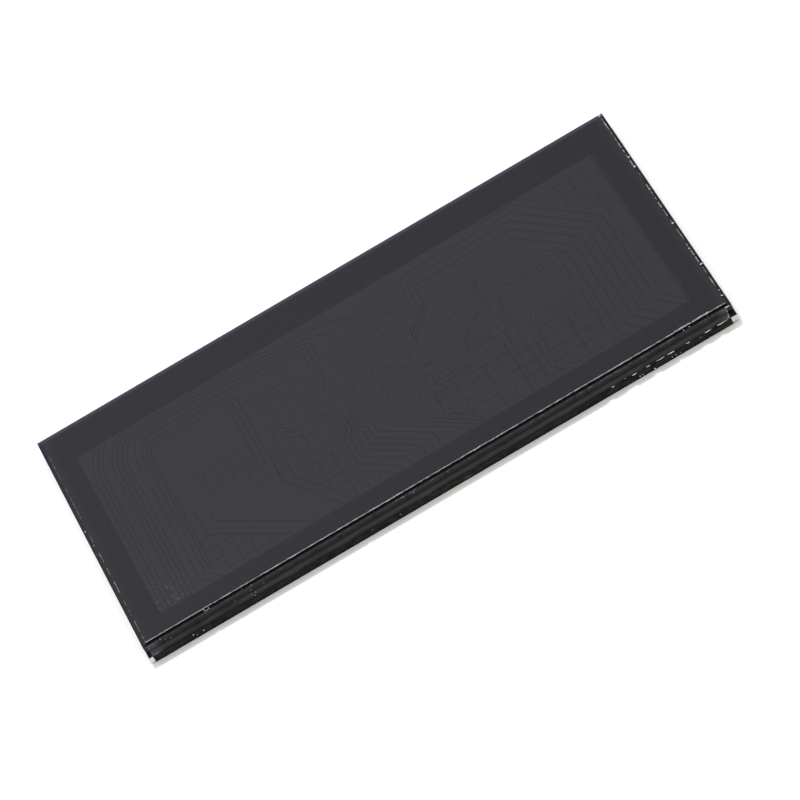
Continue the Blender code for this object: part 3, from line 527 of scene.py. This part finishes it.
def film_material():
    """Dark polarizing film over the lighter window, with a cut edge."""
    tree = Tree("polarizing_film_dark")
    x, y, _ = tree.axes()
    share = across_share(tree)
    cloud = tree.noise(75.0, 2.5)
    fine = tree.noise(1500.0, 3.0)

    # The window: cool and greenish patches, paler and dusty towards its near left corner
    cool = tree.blend(share, (0.0168, 0.0155, 0.0233), (0.0137, 0.0130, 0.0183))
    green = tree.blend(share, (0.0162, 0.0163, 0.0208), (0.0131, 0.0136, 0.0165))
    window = tree.blend(tree.ramp(cloud, 0.40, 0.60), cool, green)
    corner = tree.both(tree.ramp(x, -22.0, -45.0), tree.ramp(y, 0.0, -17.0))
    window = tree.blend(tree.both(corner, 0.20), window, (0.026, 0.025, 0.027))
    dusty = tree.both(tree.ramp(x, -37.5, -42.0), tree.ramp(y, -11.0, -14.5))
    dots = tree.both(dusty, tree.ramp(tree.noise(2000.0, 1.0), 0.58, 0.64, 0.0, 0.7))
    window = tree.blend(dots, window, (0.060, 0.060, 0.062))

    # The border round it, paler at both ends, and along the far side a painted bluish highlight of
    # the edge
    border = tree.blend(share, (0.0065, 0.0055, 0.0123), (0.0021, 0.0018, 0.0066))
    ends = tree.ramp(tree.math("ABSOLUTE", x), 48.0, 49.5, 0.0, 0.20)
    border = tree.blend(ends, border, (0.040, 0.038, 0.046))
    border = tree.blend(tree.ramp(y, 22.1, 22.5, 0.0, 0.8), border, (0.042, 0.043, 0.070))

    face = tree.blend(window_share(tree), border, window)
    face = tree.blend(tree.spread(fine, 0.0, 0.10), face, (0.020, 0.019, 0.024))
    tone = tree.blend(flat_share(tree), (0.003, 0.003, 0.004), face)
    tree.bump(fine, 0.000001, 0.2)
    return tree.finish(tone, tree.spread(cloud, 0.10, 0.16))


def rear_film_material():
    """The rear film's brown-black cut edge and its dark back."""
    tree = Tree("rear_film_dark")
    grain = tree.noise(1800.0, 3.0, (0.5, 1.0, 1.0))
    side = tree.blend(tree.ramp(grain, 0.35, 0.65), (0.002, 0.002, 0.001), (0.014, 0.011, 0.007))
    face = tree.blend(grain, (0.020, 0.020, 0.022), (0.034, 0.034, 0.036))
    tone = tree.blend(flat_share(tree), side, face)
    return tree.finish(tone, tree.spread(grain, 0.35, 0.55), DULL)


def line_material():
    """The etched lines, which show a little darker through the film."""
    tree = Tree("etched_line_dark")
    cloud = tree.noise(300.0, 2.0)
    cool = tree.blend(across_share(tree), (0.0060, 0.0052, 0.0104), (0.0033, 0.0029, 0.0065))
    tone = tree.blend(tree.spread(cloud, 0.0, 0.5), cool, (0.0071, 0.0065, 0.0109))
    return tree.finish(tone, tree.spread(cloud, 0.10, 0.16))


def front_glass_material():
    """Dark cut glass: a rim round the film, and sides with fine cutting marks."""
    tree = Tree("front_glass_dark")
    x, y, z = tree.axes()
    streaks = tree.noise(500.0, 4.0, (1.0, 1.0, 0.2), 0.6)
    grain = tree.noise(2500.0, 3.0)

    # The rim: one shade at both ends, painted shade along the near side, and a painted bluish
    # highlight along the far side
    near = tree.stops(y, NEAR_RIM_PAINTED_SHADE)
    far = tree.blend(tree.ramp(grain, 0.35, 0.65), (0.032, 0.034, 0.066), (0.050, 0.051, 0.078))
    ends = tree.blend(tree.ramp(y, -6.0, 20.0), (0.017, 0.017, 0.021), (0.012, 0.011, 0.034))
    ends = tree.blend(tree.ramp(grain, 0.35, 0.65, 0.0, 0.3), ends, (0.030, 0.030, 0.038))
    outermost = tree.math("ADD", tree.ramp(x, 49.60, 49.72), tree.ramp(x, -49.76, -49.86))
    ends = tree.blend(outermost, ends, (0.001, 0.001, 0.003))
    face = tree.blend(tree.ramp(y, -21.3, -21.4), ends, near)
    face = tree.blend(tree.ramp(y, 22.45, 22.55), face, far)

    # The sides: painted light and shade by height, streaked, a painted highlight just inside both
    # ends, and mottled past them
    side = tree.stops(z, SIDE_PAINTED_LIGHT)
    side = tree.blend(tree.ramp(streaks, 0.35, 0.70, 0.0, 0.40), side, (0.062, 0.061, 0.065))
    side = tree.blend(tree.both(end_highlight_share(tree), 0.8), side, (0.110, 0.120, 0.138))
    mottled = tree.blend(grain, (0.020, 0.020, 0.022), (0.070, 0.070, 0.074))
    side = tree.blend(end_share(tree), side, mottled)

    tone = tree.blend(flat_share(tree), side, face)
    tree.bump(grain, 0.00001, 0.3)
    return tree.finish(tone, tree.spread(streaks, 0.22, 0.42), CUT)


def ledge_tone(tree):
    """The contact ledge's painted light and shade from the step out to its edge, a painted
    highlight band across it, and darker ends.
    """
    streaks = tree.noise(260.0, 3.0, (0.6, 1.0, 1.0))
    blotches = tree.noise(520.0, 4.0, (0.5, 1.0, 1.0), 0.65)
    tone = tree.stops(tree.axes()[1], LEDGE_PAINTED_LIGHT)
    tone = tree.blend(tree.spread(streaks, 0.0, 0.22), tone, (0.034, 0.035, 0.040))
    tone = tree.blend(tree.ramp(blotches, 0.52, 0.72, 0.0, 0.55), tone, (0.010, 0.011, 0.012))
    tone = tree.blend(tree.ramp(blotches, 0.46, 0.30, 0.0, 0.35), tone, (0.085, 0.092, 0.100))
    tone = tree.blend(tree.both(end_highlight_share(tree), 0.6), tone, (0.110, 0.124, 0.142))
    dark = tree.blend(streaks, (0.004, 0.004, 0.005), (0.020, 0.020, 0.022))
    return tree.blend(end_share(tree), tone, dark)


def rear_glass_material():
    """The lower plate: a dull ledge, brown-black sides, and near ends painted pale, a painted light
    of the floor seen through clear glass.
    """
    tree = Tree("rear_glass_dark")
    x, _, z = tree.axes()
    grain = tree.noise(1400.0, 4.0, (0.6, 1.0, 1.0), 0.6)
    blotch = tree.both(tree.ramp(grain, 0.42, 0.62), tree.ramp(z, 1.5, 1.05, 0.1, 1.0))
    side = tree.blend(blotch, (0.001, 0.001, 0.000), (0.022, 0.018, 0.012))
    near = tree.ramp(tree.facing()[1], -0.5, -0.7)
    # Past the tiers' ends the near side is painted pale: painted light of the floor through clear
    # glass, dimmer at the right
    light = tree.blend(tree.ramp(x, -1.0, 1.0), (0.90, 0.90, 0.90), (0.76, 0.76, 0.75))
    side = tree.blend(tree.both(near, end_share(tree)), side, light)
    tone = tree.blend(flat_share(tree), side, ledge_tone(tree))
    tree.bump(grain, 0.00002, 0.4)
    return tree.finish(tone, tree.spread(grain, 0.30, 0.50), DULL)


def oxide_material():
    """Clear conductor on the ledge: it barely differs from the glass under it."""
    tree = Tree("oxide_film_dark")
    cloud = tree.noise(900.0, 3.0)
    # It takes the ledge's tone, with its painted light and shade
    tone = tree.blend(tree.spread(cloud, 0.0, 0.12), ledge_tone(tree), (0.036, 0.038, 0.043))
    return tree.finish(tone, tree.spread(cloud, 0.28, 0.45), DULL)


def layer_material(name, low, high, roughness, scale=800.0, metallic=0.0):
    """A thin inner layer with a little cloudiness."""
    tree = Tree(name)
    cloud = tree.noise(scale, 3.0)
    rough = tree.spread(cloud, roughness, roughness + 0.12)
    return tree.finish(tree.blend(cloud, low, high), rough, others={"Metallic": metallic})


def foot_shade_material():
    """The painted shade, a dark line at the foot of the film's edge."""
    tree = Tree("film_foot_painted_shade")
    grain = tree.noise(2200.0, 3.0)
    tone = tree.blend(grain, (0.0010, 0.0010, 0.0011), (0.0060, 0.0060, 0.0066))
    return tree.finish(tone, tree.spread(grain, 0.5, 0.7), FOOT_SHADE_GLOSS)


def chip_material(name, dark, light, low, high):
    """Broken edges of film or glass: pale, rough and uneven."""
    tree = Tree(name)
    grain = tree.noise(1100.0, 4.0, rough=0.65)
    tone = tree.blend(tree.ramp(grain, low, high), dark, light)
    tree.bump(grain, 0.00002, 0.5)
    return tree.finish(tone, tree.spread(grain, 0.35, 0.6))


# Meshes


def new_piece(name, body, material):
    """Turns a bmesh in millimetres into a piece that rides on the panel."""
    bmesh.ops.scale(body, vec=(MM, MM, MM), verts=body.verts)
    bmesh.ops.recalc_face_normals(body, faces=body.faces)
    mesh = bpy.data.meshes.new(name)
    body.to_mesh(mesh)
    body.free()
    piece = bpy.data.objects.new(name, mesh)
    bpy.context.scene.collection.objects.link(piece)
    mesh.materials.append(material)
    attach(piece, "root")


def add_strip(body, points, widths, low, high):
    """Adds a closed strip along a route, with a width at each point."""
    rings = []
    for i, point in enumerate(points):
        before, after = points[max(i - 1, 0)], points[min(i + 1, len(points) - 1)]
        along = (after - before).normalized()
        if 0 < i < len(points) - 1:
            bend = (point - before).normalized() + (after - point).normalized()
            along = bend.normalized() if bend.length > 1e-6 else along
        across = Vector((-along.y, along.x)) * widths[i] / 2
        left, right = point + across, point - across
        ring = [(right, low), (left, low), (left, high), (right, high)]
        rings.append([body.verts.new((p.x, p.y, z)) for p, z in ring])
    for one, two in zip(rings, rings[1:]):
        for k in range(4):
            body.faces.new((one[k], one[(k + 1) % 4], two[(k + 1) % 4], two[k]))
    body.faces.new(rings[0][::-1])
    body.faces.new(rings[-1])


def add_grain(body, place, size, stretch):
    """Adds a small splinter with uneven sides, no higher than just over the film."""
    corners = []
    for i in range(GRAIN_CORNERS):
        way = Vector([random.gauss(0.0, 1.0) for _ in range(3)]).normalized()
        reach = size / 2 * random.uniform(0.75, 1.2)
        x, y, z = [c + reach * w * s for c, w, s in zip(place, way, stretch)]
        top = FILM_HIGH.z + GRAIN_TOP * i / GRAIN_CORNERS
        corners.append(body.verts.new((x, y, min(z, top))))
    bmesh.ops.convex_hull(body, input=corners)
    spare = [v for v in corners if v.is_valid and not v.link_faces]
    bmesh.ops.delete(body, geom=spare, context="VERTS")


def add_tipped_strip(body, points, widths, width, low, high):
    """Adds a strip that thins out at both ends."""
    widths[0] = widths[-1] = width * TIP_SHARE
    add_strip(body, points, widths, low, high)


def broken_run(body, start, end, width, low, high, step=0.2, least=0.25):
    """Adds a jagged strip between two points, with a few breaks in it."""
    along = end - start
    count = max(3, int(along.length / step))
    side = Vector((-along.y, along.x)).normalized()
    points, widths = [], []
    for i in range(count + 1):
        wobble = side * random.uniform(-WOBBLE, WOBBLE) * width
        points.append(start + along * i / count + wobble)
        widths.append(width * random.uniform(least, 1.25 - least / 5))
        if len(points) > 4 and random.random() < BREAK_CHANCE * (1.0 - least):
            add_tipped_strip(body, points, widths, width, low, high)
            points, widths = [], []
    if len(points) > 2:
        add_tipped_strip(body, points, widths, width, low, high)


# Etched lines


def within(a, b, corners):
    """The part of a line inside a convex area, or nothing."""
    middle = sum(corners, Vector((0.0, 0.0))) / len(corners)
    start, end = 0.0, 1.0
    for one, two in zip(corners, corners[1:] + corners[:1]):
        inward = Vector((-(two - one).y, (two - one).x))
        if inward.dot(middle - one) < 0:
            inward = -inward
        distance, slope = inward.dot(a - one), inward.dot(b - a)
        if abs(slope) < 1e-9:
            if distance < 0:
                return None
            continue
        cross = -distance / slope
        start, end = (max(start, cross), end) if slope > 0 else (start, min(end, cross))
    if start >= end:
        return None
    return a + (b - a) * start, a + (b - a) * end


def window_corners(margin):
    """The window's corners, inset by a margin."""
    corners = []
    for i, j in CORNERS:
        across = WINDOW_MIDDLE[0] + i * (WINDOW_HALF[0] - margin)
        along = WINDOW_MIDDLE[1] + j * (WINDOW_HALF[1] - margin)
        corners.append(Vector((across - WINDOW_LEAN[0] * along, along - WINDOW_LEAN[1] * across)))
    return corners


def nest_routes():
    """Routes that run up the left side, bend, and follow the far side."""
    routes = []
    centre_x, centre_y = NEST_CENTRE
    for x, level in NEST:
        points = list(NEST_FEET.get(x, [(x, FOOT)]))
        for step in range(NEST_STEPS + 1):
            turn = math.radians(step * 90 / NEST_STEPS)
            points.append((
                centre_x - (centre_x - x) * math.cos(turn),
                centre_y + (level - centre_y) * math.sin(turn),
            ))
        ends = NEST_ENDS.get(level)
        if ends:
            last = ends[0][0] - NEST_CLEAR
            points += [(at, level - drop) for at, drop in NEST_DROP if at < last]
            points += ends
        routes.append((PLAIN, points))
    return routes


def bundle_routes():
    """Routes of the right-hand bundle."""
    routes = []
    for x, top, foot, level in RIGHT_BUNDLE:
        points = [(x + (foot - FOOT) * BUNDLE_SLANT, FOOT), (x, foot), (x, top)]
        if level is None:
            points.append((x - BUNDLE_TURN, top + BUNDLE_TURN))
        else:
            points.append((x - (level - top), level))
        if x == RIGHT_BUNDLE[-1][0]:
            points.append((BUNDLE_END, level))
        routes.append((BOLD, points))
    return routes


def fan_routes():
    """Routes of the fan in the middle."""
    routes = []
    for x, top, rise, foot in FAN:
        points = [(x, rise + FAN_SLOPE * x)]
        if x != FAN[0][0]:
            points.insert(0, (x, top))
        if foot is None:
            points.append(((FOOT - rise) / FAN_SLOPE, FOOT))
        else:
            low = rise + FAN_SLOPE * foot
            points += [(foot - 0.5, low + 0.4), (foot, low - 0.5), (foot, FOOT)]
        routes.append((BOLD if foot and foot > 0 else PLAIN, points))
    return routes


def grid_lines(grid, areas, width, kept):
    """Dummy squares: grid lines inside the given areas, with some pieces missing."""
    first_x, pitch_x, first_y, pitch_y = grid
    upright, level = (first_x, pitch_x), (first_y, pitch_y)
    lines = []
    for area in areas:
        corners = [Vector(c) for c in area]
        for axis, (first, pitch), (other, length) in ((0, upright, level), (1, level, upright)):
            for i in range(-GRID_REACH, GRID_REACH + 1):
                at = first + i * pitch
                for j in range(-GRID_REACH, GRID_REACH + 1):
                    low = other + j * length
                    ends = [(at, low), (at, low + length)]
                    a, b = [Vector(p if axis == 0 else p[::-1]) for p in ends]
                    piece = within(a, b, corners)
                    if piece and random.random() < kept:
                        lines.append((width * random.uniform(0.7, 1.3), piece))
    return lines


def kept_runs(points, corners):
    """The unbroken parts of a route that lie inside a convex area."""
    runs, run = [], []
    for a, b in zip(points, points[1:]):
        piece = within(a, b, corners)
        if piece and run and (run[-1] - piece[0]).length < 1e-4:
            run.append(piece[1])
        else:
            runs.append(run)
            run = list(piece) if piece else []
    return [found for found in (*runs, run) if found]


def add_etched_lines(material):
    """All the lines that show in the window, kept inside it."""
    runs = []
    corners = window_corners(LINE_INSET)
    for width, points in nest_routes() + bundle_routes() + fan_routes() + ROUTES:
        runs += [(width, run) for run in kept_runs([Vector(p) for p in points], corners)]
    corners = window_corners(SQUARE_INSET)
    for grid, areas, thin, kept in SQUARES:
        for width, piece in grid_lines(grid, areas, thin, kept):
            runs += [(width, run) for run in kept_runs(piece, corners)]
    body = bmesh.new()
    for i, (width, run) in enumerate(runs):
        reach = run[-1] - run[0]
        share = BASE_RISE + LEVEL_RISE * (abs(reach.x) > abs(reach.y))
        share += OWN_RISE * (i % RISE_STEPS) / RISE_STEPS
        low, high = FILM_HIGH.z - LINE_RISE, FILM_HIGH.z + LINE_RISE * share
        add_strip(body, run, [width] * len(run), low, high)
    new_piece("etched_lines", body, material)


# Edges, chips, adhesive and painted shade


def add_film_chips_and_glint(material):
    """The front film's cut edge, broken white along the near side and in places at the ends: chips
    and a painted glint.
    """
    body = bmesh.new()
    low, high = FILM_HIGH.z - EDGE_LINE_DEPTH, FILM_HIGH.z + PROUD
    inner = [random.uniform(-END, END) for _ in range(EDGE_LINE_MARKS)]
    marks = [-END + 0.05, *sorted([*LIFTED, *inner]), END - 0.05]
    for a, b in zip(marks, marks[1:]):
        lifted = LIFTED[0] < (a + b) / 2 < LIFTED[1]
        width = random.uniform(*EDGE_LINE_WIDTHS) + LIFTED_WIDER * lifted
        y = FILM_LOW.y + EDGE_LINE_INSET + LIFTED_SHIFT * lifted
        top = high - random.uniform(0.0, 0.004)
        start, end = Vector((a - 0.1, y)), Vector((b + 0.1, y))
        broken_run(body, start, end, width, low, top, 0.35, 0.75)
    for end, first, last, width in SIDE_RUNS:
        if end < 0:
            width *= LEFT_RUN_SHARE
        x = end * (END - width / 2) + RUN_SHIFTS[end > 0]
        broken_run(body, Vector((x, first)), Vector((x, last)), width, low, high)
    new_piece("film_edge_chips_and_glint", body, material)


def add_crumb_ring(body):
    """Adds the crumbs round the broken spot of the film's near edge."""
    for i in range(CRUMBS):
        turn = math.radians(360 * i / CRUMBS)
        x = CRUMB_MIDDLE[0] + CRUMB_REACH[0] * math.cos(turn)
        y = CRUMB_MIDDLE[1] + CRUMB_REACH[1] * math.sin(turn)
        z = FILM_HIGH.z - 0.03 if y > FILM_LOW.y else FRONT_HIGH.z + 0.05
        add_grain(body, (x, y, z), CRUMB_SIZE, CRUMB_STRETCH)


def add_ledge_shells(body):
    """Adds the pale shell-shaped breaks along the contact ledge's edge."""
    for first, last in LEDGE_SHELLS:
        points, widths = [], []
        for i in range(SHELL_STEPS + 1):
            x = first + (last - first) * i / SHELL_STEPS
            hollow = math.cos(math.pi * i / SHELL_STEPS) ** 2
            points.append(Vector((x, REAR_LOW.y + SHELL_INSET + SHELL_HOLLOW * hollow)))
            swell = math.sin(math.pi * (i + 0.3) / (SHELL_STEPS + 0.6))
            widths.append(SHELL_WIDTH * swell * random.uniform(0.7, 1.2))
        add_strip(body, points, widths, REAR_HIGH.z - SHELL_DEPTH, REAR_HIGH.z + SHELL_RISE)


def add_end_crumbs(body):
    """Adds the crumbs down the front plate and over the ledge, where the tiers stop."""
    for end in (-1, 1):
        for i in range(END_CRUMBS):
            share = i / (END_CRUMBS - 1)
            down = share < DOWN_SHARE
            out = max(0.0, share - DOWN_SHARE) / (1.0 - DOWN_SHARE)
            bend = max(0.0, share - BEND_SHARE) / (1.0 - BEND_SHARE)
            x = TIER_ENDS[end > 0] - end * BEND_REACH * bend ** 2 + random.uniform(-0.05, 0.05)
            y = NEAR - 0.01 - CRUMB_ROW_LENGTH * out
            z = CRUMB_ROW_TOP - CRUMB_ROW_LENGTH * share / DOWN_SHARE if down else REAR_HIGH.z
            if end > 0:
                add_grain(body, (x, y, z), random.uniform(*RIGHT_CRUMB_SIZES), END_CRUMB_STRETCH)
            elif i % 2:
                add_grain(body, (x, y, z), LEFT_CRUMB_SIZE, END_CRUMB_STRETCH)


def add_glass_chips_and_highlight(material):
    """Shell breaks, crumbs and loose grains on the two glass plates, and a painted highlight on the
    front plate's edge at the right end.
    """
    body = bmesh.new()
    add_crumb_ring(body)
    add_ledge_shells(body)
    for x, y, z, size in GRAINS:
        outer = y < REAR_LOW.y + 0.02
        growth = OUTER_GRAIN_GROWTH if outer else GRAIN_GROWTH
        add_grain(body, (x, y - 0.03 * outer, z), size * growth, GRAIN_STRETCH)
    add_end_crumbs(body)
    # A pale run along the front plate's near top edge past the right tier end: a painted highlight
    # of that edge
    start, end = Vector((TIER_ENDS[1], NEAR + 0.05)), Vector((49.96, NEAR + 0.05))
    broken_run(body, start, end, 0.13, FRONT_HIGH.z - 0.04, FRONT_HIGH.z + PROUD, 0.12, 0.6)
    new_piece("glass_edge_chips_and_highlight", body, material)


def add_glass_glints(material):
    """Thin glints along the front glass's cut near edge and the rear plate's side."""
    body = bmesh.new()
    runs = list(GLINTS)
    x = -FAINT_REACH
    while x < FAINT_REACH:
        length = random.uniform(*FAINT_LENGTHS)
        runs.append((x, x + length))
        x += length + random.uniform(*FAINT_GAPS)
    low, high = FRONT_HIGH.z - GLINT_DEPTH, FRONT_HIGH.z + PROUD
    for i, (first, last) in enumerate(runs):
        width = GLINT_WIDTH if i < len(GLINTS) else random.uniform(*FAINT_WIDTHS)
        start, end = Vector((first, NEAR + 0.04)), Vector((last, NEAR + 0.04))
        broken_run(body, start, end, width, low, high, 0.15)
    start, end = Vector((3.3, REAR_LOW.y)), Vector((4.7, REAR_LOW.y))
    broken_run(body, start, end, 0.03, 0.52, 0.60, 0.15)
    new_piece("glass_edge_glints", body, material)


def add_film_foot_shade(material):
    """The dark lines of painted shade at the foot of the front film's near and far edges."""
    body = bmesh.new()
    low, high = FRONT_HIGH.z - FOOT_SHADE_DEPTH, FRONT_HIGH.z + FOOT_SHADE_RISE
    for y, reach, width in FOOT_SHADE_LINES:
        start, end = Vector((-reach, y)), Vector((reach, y))
        count = int((end - start).length / FOOT_SHADE_STEP)
        points = [start + (end - start) * i / count for i in range(count + 1)]
        widths = [width * random.uniform(0.9, 1.1) for _ in points]
        add_strip(body, points, widths, low, high)
    new_piece("film_edge_painted_shade", body, material)


def add_rear_fillets(material):
    """Adhesive left in the rear film's two near corners."""
    body = bmesh.new()
    levels = (REAR_FILM_LOW.z + FILLET_INSET, REAR_FILM_HIGH.z - FILLET_INSET)
    for end in (-1, 1):
        centre = Vector((end * (END - FILLET), REAR_FILM_LOW.y + FILLET))
        last = abs(TIER_ENDS[end > 0])
        outline = [Vector((end * last, REAR_FILM_LOW.y + 0.01))]
        widest = math.asin(min(1.0, (last - END + FILLET) / FILLET))
        for step in range(FILLET_STEPS + 1):
            turn = widest * step / FILLET_STEPS
            reach = FILLET * random.uniform(0.96, 0.98)
            outline.append(centre + Vector((end * math.sin(turn), -math.cos(turn))) * reach)
        lower, upper = [[body.verts.new((p.x, p.y, z)) for p in outline] for z in levels]
        for k in range(len(outline)):
            after = (k + 1) % len(outline)
            body.faces.new((lower[k], lower[after], upper[after], upper[k]))
        body.faces.new(lower[::-1])
        body.faces.new(upper)
    new_piece("rear_film_corners", body, material)


# Stage


def add_camera():
    """The camera of the photograph."""
    yaw, pitch, roll = (math.radians(a) for a in (YAW, ELEVATION, ROLL))
    forward = Vector(
        (math.sin(yaw) * math.cos(pitch), math.cos(yaw) * math.cos(pitch), -math.sin(pitch))
    )
    right = Vector((math.cos(yaw), -math.sin(yaw), 0.0))
    up = right.cross(forward)
    across = right * math.cos(roll) + up * math.sin(roll)
    rise = up * math.cos(roll) - right * math.sin(roll)
    data = bpy.data.cameras.new("photo_camera")
    data.lens, data.sensor_width = LENS, SENSOR
    data.clip_start, data.clip_end = CLIP_NEAR, CLIP_FAR
    camera = bpy.data.objects.new("photo_camera", data)
    turn = Matrix((across, rise, -forward)).transposed().to_4x4()
    camera.matrix_world = Matrix.Translation(Vector(CAMERA_AT) * MM) @ turn
    bpy.context.scene.collection.objects.link(camera)
    bpy.context.scene.camera = camera


def add_floor():
    """A pale floor that looks white and still takes the shadow."""
    mesh = bpy.data.meshes.new("floor")
    corners = [(i * FLOOR_HALF, j * FLOOR_HALF, 0.0) for i, j in CORNERS]
    mesh.from_pydata(corners, [], [(0, 1, 2, 3)])
    floor = bpy.data.objects.new("floor", mesh)
    floor.location.z = -FLOOR_DROP
    bpy.context.scene.collection.objects.link(floor)
    tree = Tree("floor_pale")
    path = tree.add("ShaderNodeLightPath").outputs
    mirrored = tree.math("MAXIMUM", path["Is Glossy Ray"], path["Is Transmission Ray"])
    seen = tree.math("MAXIMUM", path["Is Camera Ray"], mirrored)
    tone = tree.blend(seen, FLOOR_LIT, FLOOR_SEEN)
    glow = tree.both(seen, FLOOR_GLOW)
    others = {"Emission Color": GLOW_TINT, "Emission Strength": glow}
    mesh.materials.append(tree.finish(tone, 1.0, MATT, others))


def add_light():
    """An even white studio and one soft lamp behind and above the panel."""
    world = bpy.data.worlds.new("studio")
    bpy.context.scene.world = world
    world.use_nodes = True
    nodes, links = world.node_tree.nodes, world.node_tree.links
    path = nodes.new("ShaderNodeLightPath")
    seen = path.outputs["Is Camera Ray"]
    for ray in ("Is Glossy Ray", "Is Transmission Ray"):
        either = nodes.new("ShaderNodeMath")
        either.operation = "MAXIMUM"
        links.new(seen, either.inputs[0])
        links.new(path.outputs[ray], either.inputs[1])
        seen = either.outputs[0]
    level = nodes.new("ShaderNodeMapRange")
    links.new(seen, level.inputs["Value"])
    level.inputs["To Min"].default_value = WORLD_LIT
    level.inputs["To Max"].default_value = WORLD_SEEN
    back = nodes["Background"]
    back.inputs["Color"].default_value = WORLD_TINT
    links.new(level.outputs[0], back.inputs["Strength"])
    data = bpy.data.lights.new("soft_lamp", "AREA")
    data.shape, data.size, data.energy = "DISK", LAMP_SIZE, LAMP_POWER
    lamp = bpy.data.objects.new("soft_lamp", data)
    lamp.location = LAMP_AT
    lamp.rotation_euler = Vector(LAMP_AT).to_track_quat("Z", "Y").to_euler()
    lamp.visible_glossy = False
    bpy.context.scene.collection.objects.link(lamp)


def dress_nodes():
    """Gives each CAD node its finished material, by its name or else by its slot."""
    by_name = {
        "front_glass": front_glass_material(),
        "rear_glass": rear_glass_material(),
        "front_polarizer": film_material(),
        "rear_polarizer": rear_film_material(),
    }
    by_slot = {slot: layer_material(*facts) for slot, facts in LAYERS.items()}
    by_slot["transparent_conductor"] = oxide_material()
    slots = {part["node"]: part["material_slot"] for part in frame["record"]["subparts"]}
    for name, obj in frame["nodes"].items():
        obj.data.materials.clear()
        obj.data.materials.append(by_name.get(name) or by_slot[slots[name]])


random.seed(11)
dress_nodes()
add_etched_lines(line_material())
add_film_foot_shade(foot_shade_material())
add_rear_fillets(bpy.data.materials["rear_film_dark"])
add_film_chips_and_glint(chip_material(*FILM_CHIPS_AND_GLINT))
add_glass_chips_and_highlight(chip_material(*GLASS_CHIPS_AND_HIGHLIGHT))
add_glass_glints(chip_material(*GLASS_GLINTS))
add_floor()
add_light()
add_camera()
bpy.context.scene.view_settings.view_transform = "Standard"
